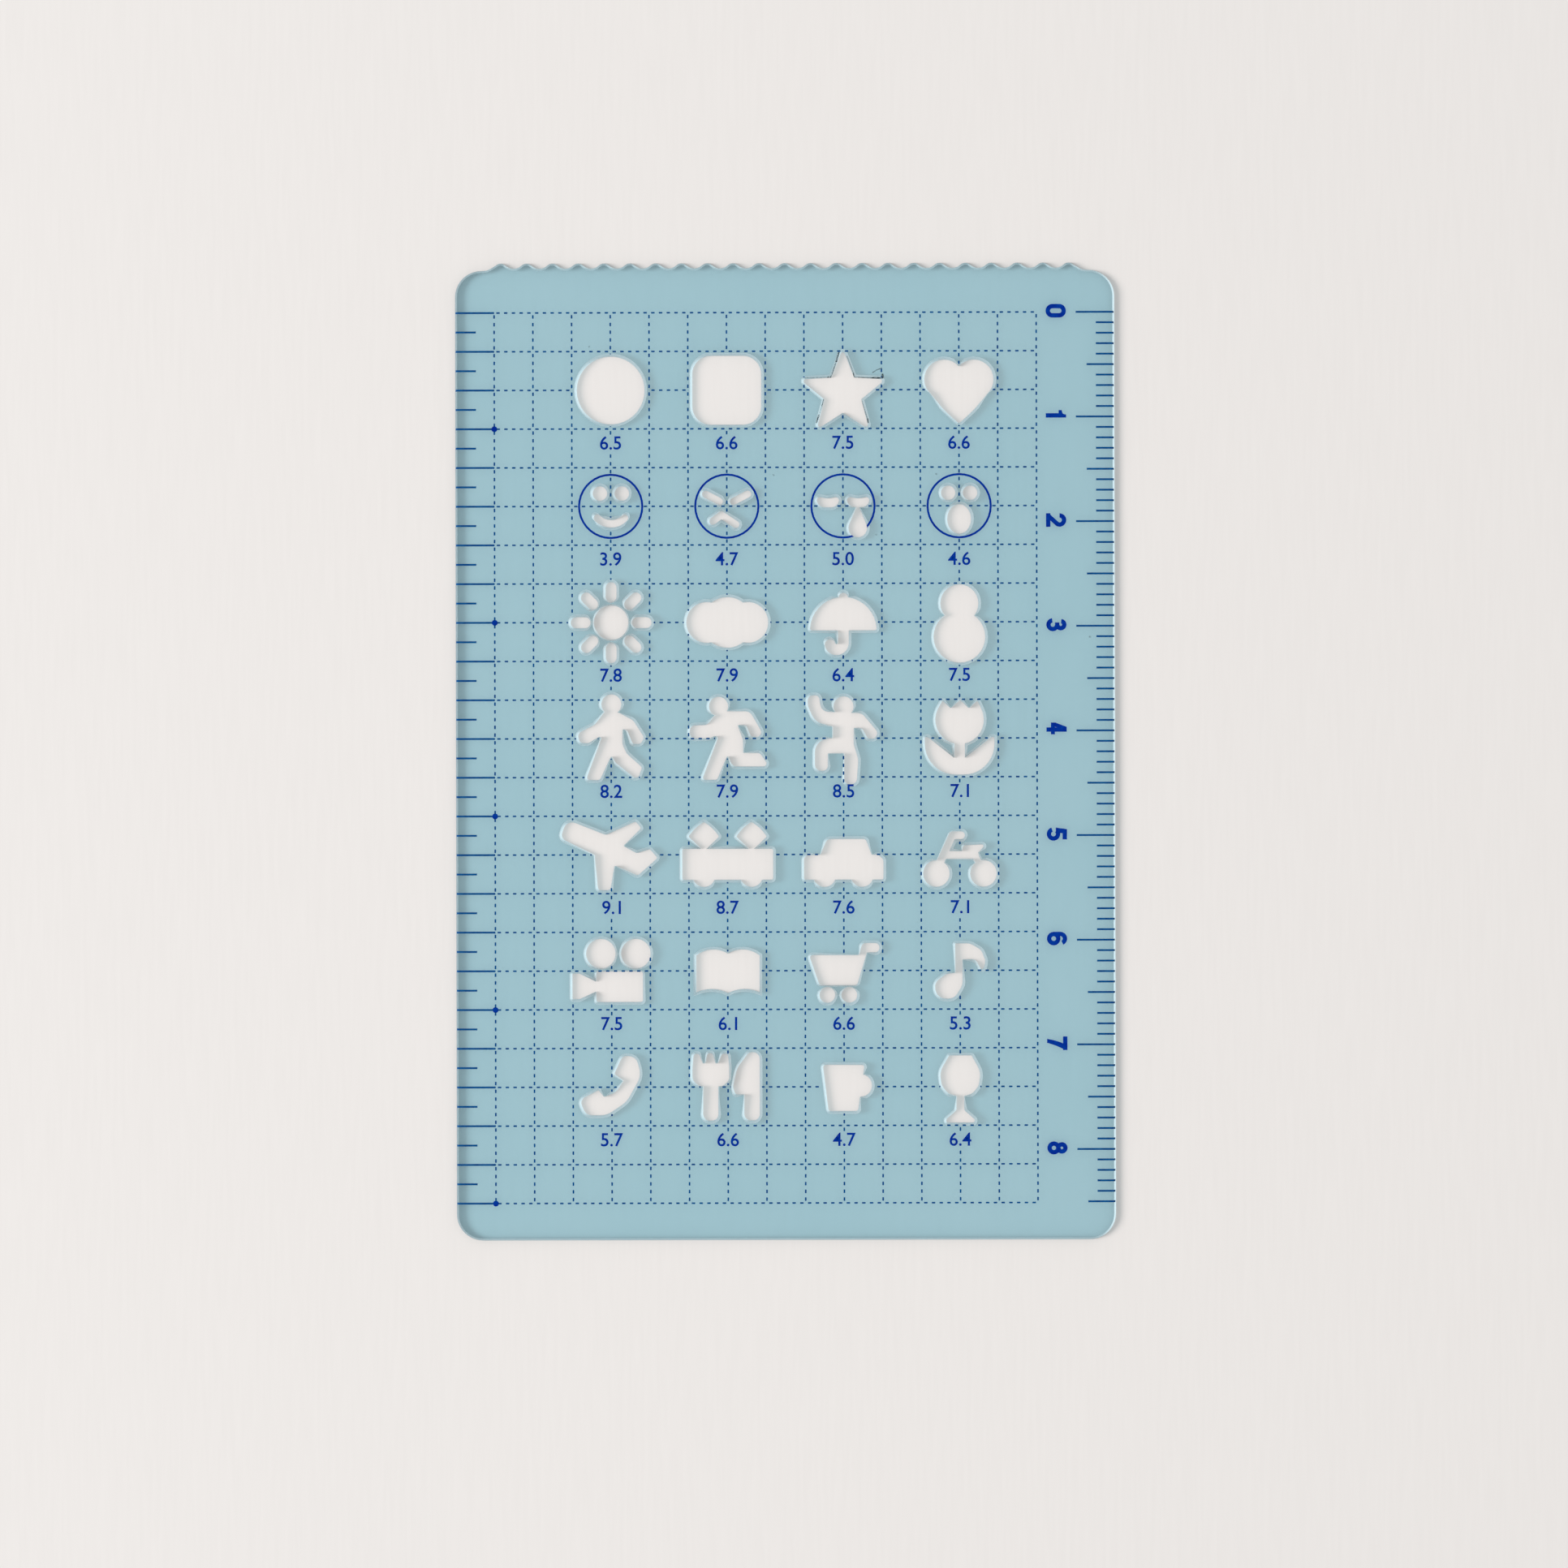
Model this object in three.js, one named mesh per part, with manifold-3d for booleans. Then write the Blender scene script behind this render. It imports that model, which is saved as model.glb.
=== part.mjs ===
// Planner stencil: a thin tinted plastic sheet with cut-out figures to draw through, a scalloped
// top edge, and scales printed on its face. Millimetres, +Z up. The sheet lies flat with its underside
// on z = 0, the middle of its outline on the Z axis and the scalloped edge towards +Y.
import * as THREE from "three";
import { mergeVertices } from "three/addons/utils/BufferGeometryUtils.js";
import Module from "manifold-3d";

const wasm = await Module();
wasm.setup();

// Sheet
const SHEET_THICKNESS = 0.5;
const CORNER_RADIUS = 2.5;

// Page grid that everything on the sheet is laid out on
const GRID_PITCH = 3.7;
const GRID_COLUMNS = 14;
const GRID_ROWS = 23;
const GRID_LEFT_MARGIN = 3.75;
const GRID_TOP_MARGIN = 4.75;
const GRID_BOTTOM_MARGIN = 3.55;

// Print
const INK_FILM = 0.02;
const TICK_LINE = 0.185;
const TICK_EDGE_GAP = 0.1;
const FACE_RING_LINE = 0.2;
const DOT_RADIUS = 0.28;
const FIRST_DOT_ROW = 3;
const DOT_ROW_STEP = 5;
const MILLIMETRE = 1;
const CENTIMETRE_TICK = 3.68;
const HALF_CENTIMETRE_TICK = 2.65;
const NUMERAL_HEIGHT = 1.94;
const NUMERAL_WIDTH = 1.3;
const NUMERAL_STROKE = 0.42;
const NUMERAL_TICK_GAP = 0.93;
const NUMERAL_GRID_GAP = 0.9;
const NUMERAL_LIFT = 0.11;

// Scalloped top edge
const SCALLOP_PITCH = 2.468;
const SCALLOP_DEPTH = 0.5;
const SCALLOP_TIP_RADIUS = 0.65;
const SHOULDER_LENGTH = 4.3;
const SHOULDER_DROP = 0.7;
const SHOULDER_ROUND = 1.2;

// Cut-outs sit on every third grid crossing
const CELL_STEP = 3;
const FIRST_CELL_COLUMN = 3;
const FIRST_CELL_ROW = 2;
const OVERCUT = 1;

// Plain shapes
const BALL_RADIUS = 3.25;
const SQUARE_SIDE = 6.6;
const SQUARE_CORNER = 1.75;
const STAR_POINTS = 5;
const STAR_TIP_RADIUS = 4.33;
const STAR_WAIST_RADIUS = 1.86;
const STAR_TIP_ROUND = 0.22;
const STAR_DROP = 0.31;
const HEART_LOBE_RADIUS = 1.9;
const HEART_LOBE_OFFSET = 1.42;
const HEART_LOBE_HEIGHT = 1;
const HEART_TIP_DROP = 3.25;
const HEART_TIP_ROUND = 0.2;
const HEART_SIDE_BOW = 0.12;

// Faces
const EYE_RADIUS = 0.7;
const EYE_OFFSET = 1.05;
const EYE_HEIGHT = 1.25;
const SMILE_RADIUS = 1.82;
const SMILE_HALF_ANGLE = 46;
const SMILE_HEIGHT = 0.17;
const SMILE_WIDTH = 0.72;
const FROWN_WIDTH = 0.7;
const SLEEPY_EYE_INNER = 0.25;
const SLEEPY_EYE_OUTER = 2.65;
const SLEEPY_EYE_TOP = 0.97;
const SLEEPY_EYE_SAG = 0.26;
const SLEEPY_EYE_BOTTOM = -0.12;
const TEAR_RADIUS = 0.9;
const TEAR_X = 1.4;
const TEAR_DROP = 2.1;
const TEAR_TIP_SINK = 0.4;
const YAWN_HALF_WIDTH = 1.15;
const YAWN_HALF_HEIGHT = 1.42;
const YAWN_DROP = 1.25;
const FACE_RING_GAP = 0.37;

// Weather
const SUN_RADIUS = 1.66;
const SUN_RAYS = 8;
const SUN_RAY_WIDTH = 1.06;
const SUN_RAY_LENGTH = 1.92;
const SUN_RAY_GAP = 0.3;
const CLOUD_MIDDLE_RADIUS = 2.43;
const CLOUD_SIDE_RADIUS = 1.96;
const CLOUD_SIDE_OFFSET = 1.97;
const UMBRELLA_RADIUS = 3.2;
const UMBRELLA_BASE = -0.78;
const UMBRELLA_CORNER = 0.18;
const UMBRELLA_KNOB_RADIUS = 0.45;
const UMBRELLA_STEM_WIDTH = 1.05;
const UMBRELLA_STEM_LENGTH = 1.2;
const UMBRELLA_HOOK_RADIUS = 0.65;
const UMBRELLA_HOOK_SWEEP = 165;
const SNOW_HEAD_RADIUS = 1.83;
const SNOW_HEAD_HEIGHT = 1.77;
const SNOW_BODY_RADIUS = 2.48;
const SNOW_BODY_DROP = 1.42;

// People and tulip
const WALKER_HEAD_RADIUS = 0.97;
const RUNNER_HEAD_RADIUS = 0.93;
const TULIP_CUP_RADIUS = 2.33;
const TULIP_CUP_HEIGHT = 1.75;
const TULIP_RIM_HEIGHT = 2.75;
const TULIP_STEM_WIDTH = 1.02;
const TULIP_LEAF_REACH = 3.34;
const TULIP_LEAF_TIP = 0.1;
const TULIP_LEAF_TIP_WIDTH = 0.3;
const TULIP_LEAF_DROP = 3.5;
const TULIP_LEAF_ROUND = 2.95;

// Transport
const TRAIN_HALF_LENGTH = 4.35;
const TRAIN_ROOF = 0.55;
const TRAIN_FLOOR = -2.42;
const TRAIN_CORNER = 0.18;
const TRAIN_WHEEL_RADIUS = 1.1;
const TRAIN_WHEEL_OFFSET = 2.28;
const TRAIN_WHEEL_SINK = 0.42;
const TRAIN_DIAMOND_WIDTH = 2.96;
const TRAIN_DIAMOND_HEIGHT = 2.84;
const TRAIN_DIAMOND_SINK = 0.24;
const TRAIN_DIAMOND_BOW = 0.1;
const CAR_WHEEL_RADIUS = 1.1;
const CAR_FLOOR = -2.42;
const CAR_WHEEL_SINK = 0.4;
const CAR_WHEEL_X = [-1.85, 1.75];
const BIKE_WHEEL_RADIUS = 1.28;
const BIKE_WHEEL_OFFSET = 2.25;
const BIKE_WHEEL_DROP = 1.85;
const BIKE_TUBE_WIDTH = 0.75;
const BIKE_STAY_WIDTH = 0.62;

// Pastimes and table
const REEL_RADIUS = 1.42;
const REEL_HEIGHT = 1.65;
const REEL_X = [-1.05, 2.3];
const BOOK_HALF_WIDTH = 3.04;
const BOOK_TOP_BOW = 0.48;
const BOOK_BOTTOM_BOW = 0.36;
const CART_WHEEL_RADIUS = 0.76;
const CART_WHEEL_X = [-1.6, 0.5];
const CART_WHEEL_GAP = 0.16;
const CART_FLOOR = -1.42;
const MUG_HANDLE_RADIUS = 1.08;

// Chord error of a round stretch
const CHORD_ERROR = 0.012;

// Sizes that follow from the ones above
const SHEET_WIDTH = GRID_LEFT_MARGIN + GRID_COLUMNS * GRID_PITCH
  + NUMERAL_GRID_GAP + NUMERAL_HEIGHT + NUMERAL_TICK_GAP + CENTIMETRE_TICK;
const SHEET_HEIGHT = GRID_TOP_MARGIN + GRID_ROWS * GRID_PITCH + GRID_BOTTOM_MARGIN;
const SHEET_RIGHT = SHEET_WIDTH / 2;
const SHEET_TOP = SHEET_HEIGHT / 2;
const CENTIMETRE = 10 * MILLIMETRE;
const HALF_CENTIMETRES = Math.floor((GRID_ROWS * GRID_PITCH * 2) / CENTIMETRE);
const FACE_RING_RADIUS = SLEEPY_EYE_OUTER + FACE_RING_GAP;

const sheetPlastic = new THREE.MeshStandardMaterial({ color: 0x9dc1ca, roughness: 0.3, metalness: 0 });
const printInk = new THREE.MeshStandardMaterial({ color: 0x12378c, roughness: 0.6, metalness: 0 });

const gridX = (column) => -SHEET_RIGHT + GRID_LEFT_MARGIN + column * GRID_PITCH;
const gridY = (row) => SHEET_TOP - GRID_TOP_MARGIN - row * GRID_PITCH;

// Outlines

/** Points on an arc about (x, y), from one angle through a sweep, both in radians. */
function arc(x, y, radius, from, sweep) {
  const step = 2 * Math.acos(1 - Math.min(CHORD_ERROR / radius, 0.5));
  const steps = 2 * Math.ceil(Math.abs(sweep) / step / 2);
  return Array.from({ length: steps + 1 }, (_, i) => {
    const angle = from + (sweep * i) / steps;
    return new THREE.Vector2(x + radius * Math.cos(angle), y + radius * Math.sin(angle));
  });
}

/** A full circle. */
function disc(x, y, radius) {
  return new THREE.Shape(arc(x, y, radius, 0, 2 * Math.PI).slice(0, -1));
}

/** An upright ellipse. */
function ellipse(x, y, halfWidth, halfHeight) {
  const stretch = halfHeight / halfWidth;
  const points = arc(0, 0, halfWidth, 0, 2 * Math.PI).slice(0, -1);
  return new THREE.Shape(points.map((p) => new THREE.Vector2(x + p.x, y + p.y * stretch)));
}

/** The points of a closed outline whose corners [x, y, radius] are rounded, sharing the edges' length. */
function roundedPoints(corners) {
  const count = corners.length;
  const bends = corners.map(([x, y, radius = 0], i) => {
    const spot = new THREE.Vector2(x, y);
    const before = new THREE.Vector2(...corners.at(i - 1)).sub(spot);
    const after = new THREE.Vector2(...corners[(i + 1) % count]).sub(spot);
    const half = Math.acos(before.dot(after) / before.length() / after.length()) / 2;
    return { spot, before, after, half, reach: radius / Math.tan(half) };
  });
  return bends.flatMap(({ spot, before, after, half, reach }, i) => {
    if (reach === 0) {
      return [spot];
    }
    const roomBefore = (before.length() * reach) / (reach + bends.at(i - 1).reach);
    const roomAfter = (after.length() * reach) / (reach + bends[(i + 1) % count].reach);
    const fitted = Math.min(reach, 0.98 * roomBefore, 0.98 * roomAfter);
    const radius = fitted * Math.tan(half);
    const inward = before.clone().normalize().add(after.clone().normalize());
    const centre = inward.setLength(radius / Math.sin(half)).add(spot);
    const start = before.clone().setLength(fitted).add(spot).sub(centre).angle();
    const sweep = (2 * half - Math.PI) * Math.sign(before.cross(after));
    return arc(centre.x, centre.y, radius, start, sweep);
  });
}

/** A closed shape with rounded corners. */
function rounded(corners) {
  return new THREE.Shape(roundedPoints(corners));
}

/** A rectangle from its lower left to its upper right corner. */
function bar(left, bottom, right, top, radius = 0) {
  return rounded([
    [left, bottom, radius], [right, bottom, radius], [right, top, radius], [left, top, radius],
  ]);
}

/** A straight slot with round ends. */
function slot(x0, y0, x1, y1, width) {
  const lean = Math.atan2(y1 - y0, x1 - x0);
  return new THREE.Shape([
    ...arc(x1, y1, width / 2, lean - Math.PI / 2, Math.PI),
    ...arc(x0, y0, width / 2, lean + Math.PI / 2, Math.PI),
  ]);
}

/** A band of even width about an arc, square at its ends. */
function bow(x, y, radius, from, sweep, width) {
  return new THREE.Shape([
    ...arc(x, y, radius + width / 2, from, sweep),
    ...arc(x, y, radius - width / 2, from + sweep, -sweep),
  ]);
}

/** A ring of even width. */
function ring(x, y, radius, width) {
  const shape = disc(x, y, radius + width / 2);
  shape.holes.push(new THREE.Path(disc(x, y, radius - width / 2).getPoints()));
  return shape;
}

/** A straight band of even width, square at its ends. */
function band(x0, y0, x1, y1, width) {
  const side = new THREE.Vector2(y0 - y1, x1 - x0).setLength(width / 2);
  return rounded([
    [x0 + side.x, y0 + side.y], [x0 - side.x, y0 - side.y],
    [x1 - side.x, y1 - side.y], [x1 + side.x, y1 + side.y],
  ]);
}

/** Points from one end up to the other along an arc that rises to the left of the way. */
function bowed([x0, y0], [x1, y1], rise) {
  const chord = new THREE.Vector2(x1 - x0, y1 - y0);
  const half = chord.length() / 2;
  const radius = (half * half + rise * rise) / (2 * Math.abs(rise));
  const out = new THREE.Vector2(-chord.y, chord.x).setLength((radius - Math.abs(rise)) * Math.sign(rise));
  const centre = new THREE.Vector2((x0 + x1) / 2, (y0 + y1) / 2).sub(out);
  const start = new THREE.Vector2(x0, y0).sub(centre).angle();
  const sweep = -Math.sign(rise) * 2 * Math.asin(half / radius);
  return arc(centre.x, centre.y, radius, start, sweep).slice(0, -1);
}

const radians = THREE.MathUtils.degToRad;

// Cut-out figures, each a list of shapes about its own grid crossing

const ball = () => [disc(0, 0, BALL_RADIUS)];

function square() {
  const half = SQUARE_SIDE / 2;
  return [bar(-half, -half, half, half, SQUARE_CORNER)];
}

function star() {
  const corners = Array.from({ length: 2 * STAR_POINTS }, (_, i) => {
    const angle = Math.PI * (0.5 + i / STAR_POINTS);
    const radius = i % 2 ? STAR_WAIST_RADIUS : STAR_TIP_RADIUS;
    return [radius * Math.cos(angle), radius * Math.sin(angle) - STAR_DROP, i % 2 ? 0 : STAR_TIP_ROUND];
  });
  return [rounded(corners)];
}

function heart() {
  const lobes = [-1, 1].map((side) => disc(side * HEART_LOBE_OFFSET, HEART_LOBE_HEIGHT, HEART_LOBE_RADIUS));
  const rise = HEART_LOBE_HEIGHT + HEART_TIP_DROP;
  const reach = Math.hypot(HEART_LOBE_OFFSET, rise);
  const lean = Math.acos(HEART_LOBE_RADIUS / reach) - Math.atan2(HEART_LOBE_OFFSET, rise);
  const sideX = HEART_LOBE_OFFSET + HEART_LOBE_RADIUS * Math.sin(lean);
  const sideY = HEART_LOBE_HEIGHT - HEART_LOBE_RADIUS * Math.cos(lean);
  const bowX = sideX / 2 + HEART_SIDE_BOW * Math.cos(lean);
  const bowY = (sideY - HEART_TIP_DROP) / 2 - HEART_SIDE_BOW * Math.sin(lean);
  const point = rounded([
    [-sideX, sideY], [-bowX, bowY, 6], [0, -HEART_TIP_DROP, HEART_TIP_ROUND],
    [bowX, bowY, 6], [sideX, sideY], [0, HEART_LOBE_HEIGHT],
  ]);
  return [...lobes, point];
}

const roundEyes = () => [-1, 1].map((side) => disc(side * EYE_OFFSET, EYE_HEIGHT, EYE_RADIUS));

function smilingFace() {
  const spread = radians(SMILE_HALF_ANGLE);
  const ends = [-1, 1].map((side) => disc(
    side * SMILE_RADIUS * Math.sin(spread), SMILE_HEIGHT - SMILE_RADIUS * Math.cos(spread), SMILE_WIDTH / 2,
  ));
  const mouth = bow(0, SMILE_HEIGHT, SMILE_RADIUS, -Math.PI / 2 - spread, 2 * spread, SMILE_WIDTH);
  return [...roundEyes(), mouth, ...ends];
}

function crossFace() {
  return [
    slot(-2.05, 1.17, -0.72, 0.47, FROWN_WIDTH),
    slot(0.62, 0.47, 1.98, 1.18, FROWN_WIDTH),
    slot(-1.35, -1.42, -0.55, -0.8, FROWN_WIDTH),
    slot(-0.55, -0.8, 0.85, -1.74, FROWN_WIDTH),
  ];
}

/** A drop hanging from an eye: a circle and the two lines that meet at its tip. */
function tear() {
  const tipY = SLEEPY_EYE_BOTTOM + TEAR_TIP_SINK;
  const spread = Math.acos(TEAR_RADIUS / (tipY + TEAR_DROP));
  const around = arc(TEAR_X, -TEAR_DROP, TEAR_RADIUS, Math.PI / 2 + spread, 2 * (Math.PI - spread));
  return new THREE.Shape([new THREE.Vector2(TEAR_X, tipY), ...around]);
}

function cryingFace() {
  const middle = (SLEEPY_EYE_INNER + SLEEPY_EYE_OUTER) / 2;
  const lids = [-1, 1].map((side) => rounded([
    [side * SLEEPY_EYE_INNER, SLEEPY_EYE_TOP, 0.36], [side * middle, SLEEPY_EYE_TOP - SLEEPY_EYE_SAG, 1.2],
    [side * SLEEPY_EYE_OUTER, SLEEPY_EYE_TOP, 0.36],
    [side * (SLEEPY_EYE_OUTER - 0.3), SLEEPY_EYE_BOTTOM, 0.9],
    [side * (SLEEPY_EYE_INNER + 0.3), SLEEPY_EYE_BOTTOM, 0.9],
  ]));
  return [...lids, tear()];
}

const surprisedFace = () => [...roundEyes(), ellipse(0, -YAWN_DROP, YAWN_HALF_WIDTH, YAWN_HALF_HEIGHT)];

function sun() {
  const inner = SUN_RADIUS + SUN_RAY_GAP + SUN_RAY_WIDTH / 2;
  const outer = SUN_RADIUS + SUN_RAY_GAP + SUN_RAY_LENGTH - SUN_RAY_WIDTH / 2;
  const rays = Array.from({ length: SUN_RAYS }, (_, i) => {
    const cos = Math.cos((2 * Math.PI * i) / SUN_RAYS);
    const sin = Math.sin((2 * Math.PI * i) / SUN_RAYS);
    return slot(inner * cos, inner * sin, outer * cos, outer * sin, SUN_RAY_WIDTH);
  });
  return [disc(0, 0, SUN_RADIUS), ...rays];
}

function cloud() {
  const sides = [-1, 1].map((side) => disc(side * CLOUD_SIDE_OFFSET, 0, CLOUD_SIDE_RADIUS));
  return [disc(0, 0, CLOUD_MIDDLE_RADIUS), ...sides];
}

function umbrella() {
  const lift = Math.asin((1.2 * UMBRELLA_CORNER) / UMBRELLA_RADIUS);
  const dome = new THREE.Shape([
    ...arc(0, UMBRELLA_BASE, UMBRELLA_RADIUS, lift, Math.PI - 2 * lift),
    ...roundedPoints([
      [-UMBRELLA_RADIUS, 0], [-UMBRELLA_RADIUS, UMBRELLA_BASE, UMBRELLA_CORNER],
      [UMBRELLA_RADIUS, UMBRELLA_BASE, UMBRELLA_CORNER], [UMBRELLA_RADIUS, 0],
    ]).slice(1, -1),
  ]);
  const knob = disc(0, UMBRELLA_BASE + UMBRELLA_RADIUS - 0.05, UMBRELLA_KNOB_RADIUS);
  const half = UMBRELLA_STEM_WIDTH / 2;
  const hookY = UMBRELLA_BASE - UMBRELLA_STEM_LENGTH;
  const stem = bar(-half, hookY, half, UMBRELLA_BASE + half);
  const sweep = radians(UMBRELLA_HOOK_SWEEP);
  const hook = bow(-UMBRELLA_HOOK_RADIUS, hookY, UMBRELLA_HOOK_RADIUS, 0, -sweep, UMBRELLA_STEM_WIDTH);
  const end = disc(
    UMBRELLA_HOOK_RADIUS * (Math.cos(sweep) - 1), hookY - UMBRELLA_HOOK_RADIUS * Math.sin(sweep), half,
  );
  return [dome, knob, stem, hook, end];
}

function snowman() {
  return [disc(0, SNOW_HEAD_HEIGHT, SNOW_HEAD_RADIUS), disc(0, -SNOW_BODY_DROP, SNOW_BODY_RADIUS)];
}

function walker() {
  return [disc(0, 3.28, WALKER_HEAD_RADIUS), rounded([
    [-0.65, 2.6], [-1.6, 1.35, 0.8], [-3.25, 0.5, 0.5], [-3.05, -0.4, 0.45], [-2.2, -0.42, 0.6],
    [-0.85, 0.38, 0.15], [-2.45, -3.95, 0.25], [-1.1, -3.95, 0.3], [0, -1.62, 0.08], [0.4, -2.3, 0.4],
    [2.25, -3.8, 0.25], [2.62, -3.6, 0.15], [2.95, -2.75, 0.3], [1.45, -1.4, 1], [1.05, -0.5, 1],
    [1.08, 0.95, 0.1], [1.5, 0.8, 0.3], [2.05, -0.5, 0.3], [2.8, -0.5, 0.4], [3.15, 0.1, 0.4],
    [2.1, 1.75, 0.8], [0.7, 2.5],
  ])];
}

function runner() {
  return [disc(-0.85, 3.07, RUNNER_HEAD_RADIUS), rounded([
    [-0.4, 2.6], [2.15, 2.6, 0.75], [3.35, 0.5, 0.45], [2.9, 0.1, 0.3], [2.25, 0.2, 0.25],
    [1.75, 1.3, 0.35], [0.95, 1.3, 0.1], [1.5, -0.1, 1.5], [1.5, -1.38, 0.08], [3.1, -1.38, 0.4],
    [3.85, -2.5, 0.25], [3.5, -2.68, 0.15], [0.5, -2.68, 0.6], [0, -1.6, 0.08], [-1, -3.95, 0.3],
    [-2.45, -3.95, 0.22], [-0.78, 0.45, 0.22], [-1.7, 0.03, 0.5], [-3.65, 0, 0.5], [-3.6, 1.25, 0.5],
    [-1.95, 1.3, 0.6], [-1.3, 2.15],
  ])];
}

function cheerer() {
  return [disc(0, 3.05, WALKER_HEAD_RADIUS), rounded([
    [0.7, 2.42], [1.75, 2.42, 0.9], [3.35, 0.5, 0.5], [2.95, -0.08, 0.35], [2.3, -0.02, 0.3],
    [1.75, 1, 0.5], [0.98, 1, 0.08], [0.98, -0.6, 1], [1.42, -2, 1.5], [1.25, -4.38, 0.5],
    [0.04, -4.38, 0.45], [0.04, -1.44, 0.06], [-1.5, -1.44, 0.06], [-1.5, -3.12, 0.5], [-2.75, -3.12, 0.6],
    [-2.75, -0.2, 1.3], [-1.05, 0.02, 0.08], [-1.05, 1.12, 0.08], [-2.75, 1.6, 1.4], [-3.45, 3.2, 1],
    [-3.4, 4.12, 0.5], [-2.35, 4.12, 0.4], [-2.1, 2.55, 0.8], [-0.85, 2.5],
  ])];
}

function tulip() {
  const rim = Math.asin((TULIP_RIM_HEIGHT - TULIP_CUP_HEIGHT) / TULIP_CUP_RADIUS);
  const rimX = TULIP_CUP_RADIUS * Math.cos(rim);
  const cup = new THREE.Shape([
    ...arc(0, TULIP_CUP_HEIGHT, TULIP_CUP_RADIUS, Math.PI - rim, Math.PI + 2 * rim),
    ...roundedPoints([
      [rimX, TULIP_RIM_HEIGHT], [1.72, 3.6, 0.08], [0.9, 2.84, 0.1], [0.06, 3.66, 0.1],
      [-0.84, 2.84, 0.1], [-1.64, 3.6, 0.08], [-rimX, TULIP_RIM_HEIGHT],
    ]).slice(1, -1),
  ]);
  const half = TULIP_STEM_WIDTH / 2;
  const stem = bar(-half, -2.1, half, 0);
  const reach = TULIP_LEAF_REACH;
  const tipX = reach - TULIP_LEAF_TIP_WIDTH;
  const leaves = rounded([
    [-reach, -TULIP_LEAF_DROP, TULIP_LEAF_ROUND], [reach, -TULIP_LEAF_DROP, TULIP_LEAF_ROUND],
    [reach, TULIP_LEAF_TIP, 0.1], [tipX, TULIP_LEAF_TIP, 0.1], [half, -1.9],
    [-half, -1.9], [-tipX, TULIP_LEAF_TIP, 0.1], [-reach, TULIP_LEAF_TIP, 0.1],
  ]);
  return [cup, stem, leaves];
}

function airplane() {
  return [rounded([
    [-4.3, 3.38, 0.85], [-0.55, 1.9, 0.3], [2.3, 3.2, 0.25], [2.85, 2.55, 0.15], [1.12, 0.85, 0.1],
    [2.4, 0.15, 0.3], [3.65, 0.55, 0.2], [4.4, -0.3, 0.15], [2.5, -2, 0.25], [0.28, -1, 0.12],
    [-0.12, -3.38, 0.3], [-1.3, -3.38, 0.3], [-1.65, 0, 0.12], [-4.9, 1.6, 0.6],
  ])];
}

function train() {
  const wheelY = TRAIN_FLOOR + TRAIN_WHEEL_SINK;
  const halfWidth = TRAIN_DIAMOND_WIDTH / 2;
  const low = TRAIN_ROOF - TRAIN_DIAMOND_SINK;
  const body = bar(-TRAIN_HALF_LENGTH, TRAIN_FLOOR, TRAIN_HALF_LENGTH, TRAIN_ROOF, TRAIN_CORNER);
  const wheels = [-1, 1].map((side) => disc(side * TRAIN_WHEEL_OFFSET, wheelY, TRAIN_WHEEL_RADIUS));
  const diamonds = [-1, 1].map((side) => {
    const x = side * TRAIN_WHEEL_OFFSET;
    const middle = low + TRAIN_DIAMOND_HEIGHT / 2;
    const bowX = halfWidth / 2 + TRAIN_DIAMOND_BOW;
    const bowY = middle + TRAIN_DIAMOND_HEIGHT / 4 + TRAIN_DIAMOND_BOW;
    return rounded([
      [x, low], [x + halfWidth, middle, 0.12], [x + bowX, bowY, 3],
      [x, low + TRAIN_DIAMOND_HEIGHT, 0.2], [x - bowX, bowY, 3], [x - halfWidth, middle, 0.12],
    ]);
  });
  return [body, ...wheels, ...diamonds];
}

function car() {
  const body = rounded([
    [-3.82, -0.08, 0.5], [-2.26, -0.04, 0.08], [-1.61, 1.47, 0.56], [2.1, 1.47, 0.35], [2.68, -0.04, 0.08],
    [3.3, -0.04, 0.5], [3.8, -0.5, 0.4], [3.8, CAR_FLOOR, 0.15], [-3.82, CAR_FLOOR, 0.15],
  ]);
  return [body, ...CAR_WHEEL_X.map((x) => disc(x, CAR_FLOOR + CAR_WHEEL_SINK, CAR_WHEEL_RADIUS))];
}

function bicycle() {
  const wheels = [-1, 1].map((side) => disc(side * BIKE_WHEEL_OFFSET, -BIKE_WHEEL_DROP, BIKE_WHEEL_RADIUS));
  const fork = slot(-2.1, -1.2, -0.72, 1.8, BIKE_TUBE_WIDTH);
  const handlebar = slot(-0.72, 1.8, 0.12, 1.8, BIKE_TUBE_WIDTH);
  const crossbar = slot(-1.3, -0.08, 1.45, -0.08, BIKE_TUBE_WIDTH);
  const stay = slot(1.42, -0.05, 2, -1.2, BIKE_STAY_WIDTH);
  const saddle = rounded([[0.2, 0], [0.25, 0.84, 0.3], [2.5, 0.94, 0.16], [1.62, 0]]);
  return [...wheels, fork, handlebar, crossbar, stay, saddle];
}

function filmCamera() {
  const reels = REEL_X.map((x) => disc(x, REEL_HEIGHT, REEL_RADIUS));
  const body = bar(-1.5, -2.98, 2.98, -0.05, 0.2);
  const lens = rounded([
    [-3.78, -0.25, 0.1], [-3.1, -0.25, 0.15], [-1.4, -1.08],
    [-1.4, -1.92], [-3.1, -2.7, 0.15], [-3.78, -2.7, 0.1],
  ]);
  return [...reels, body, lens];
}

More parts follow.
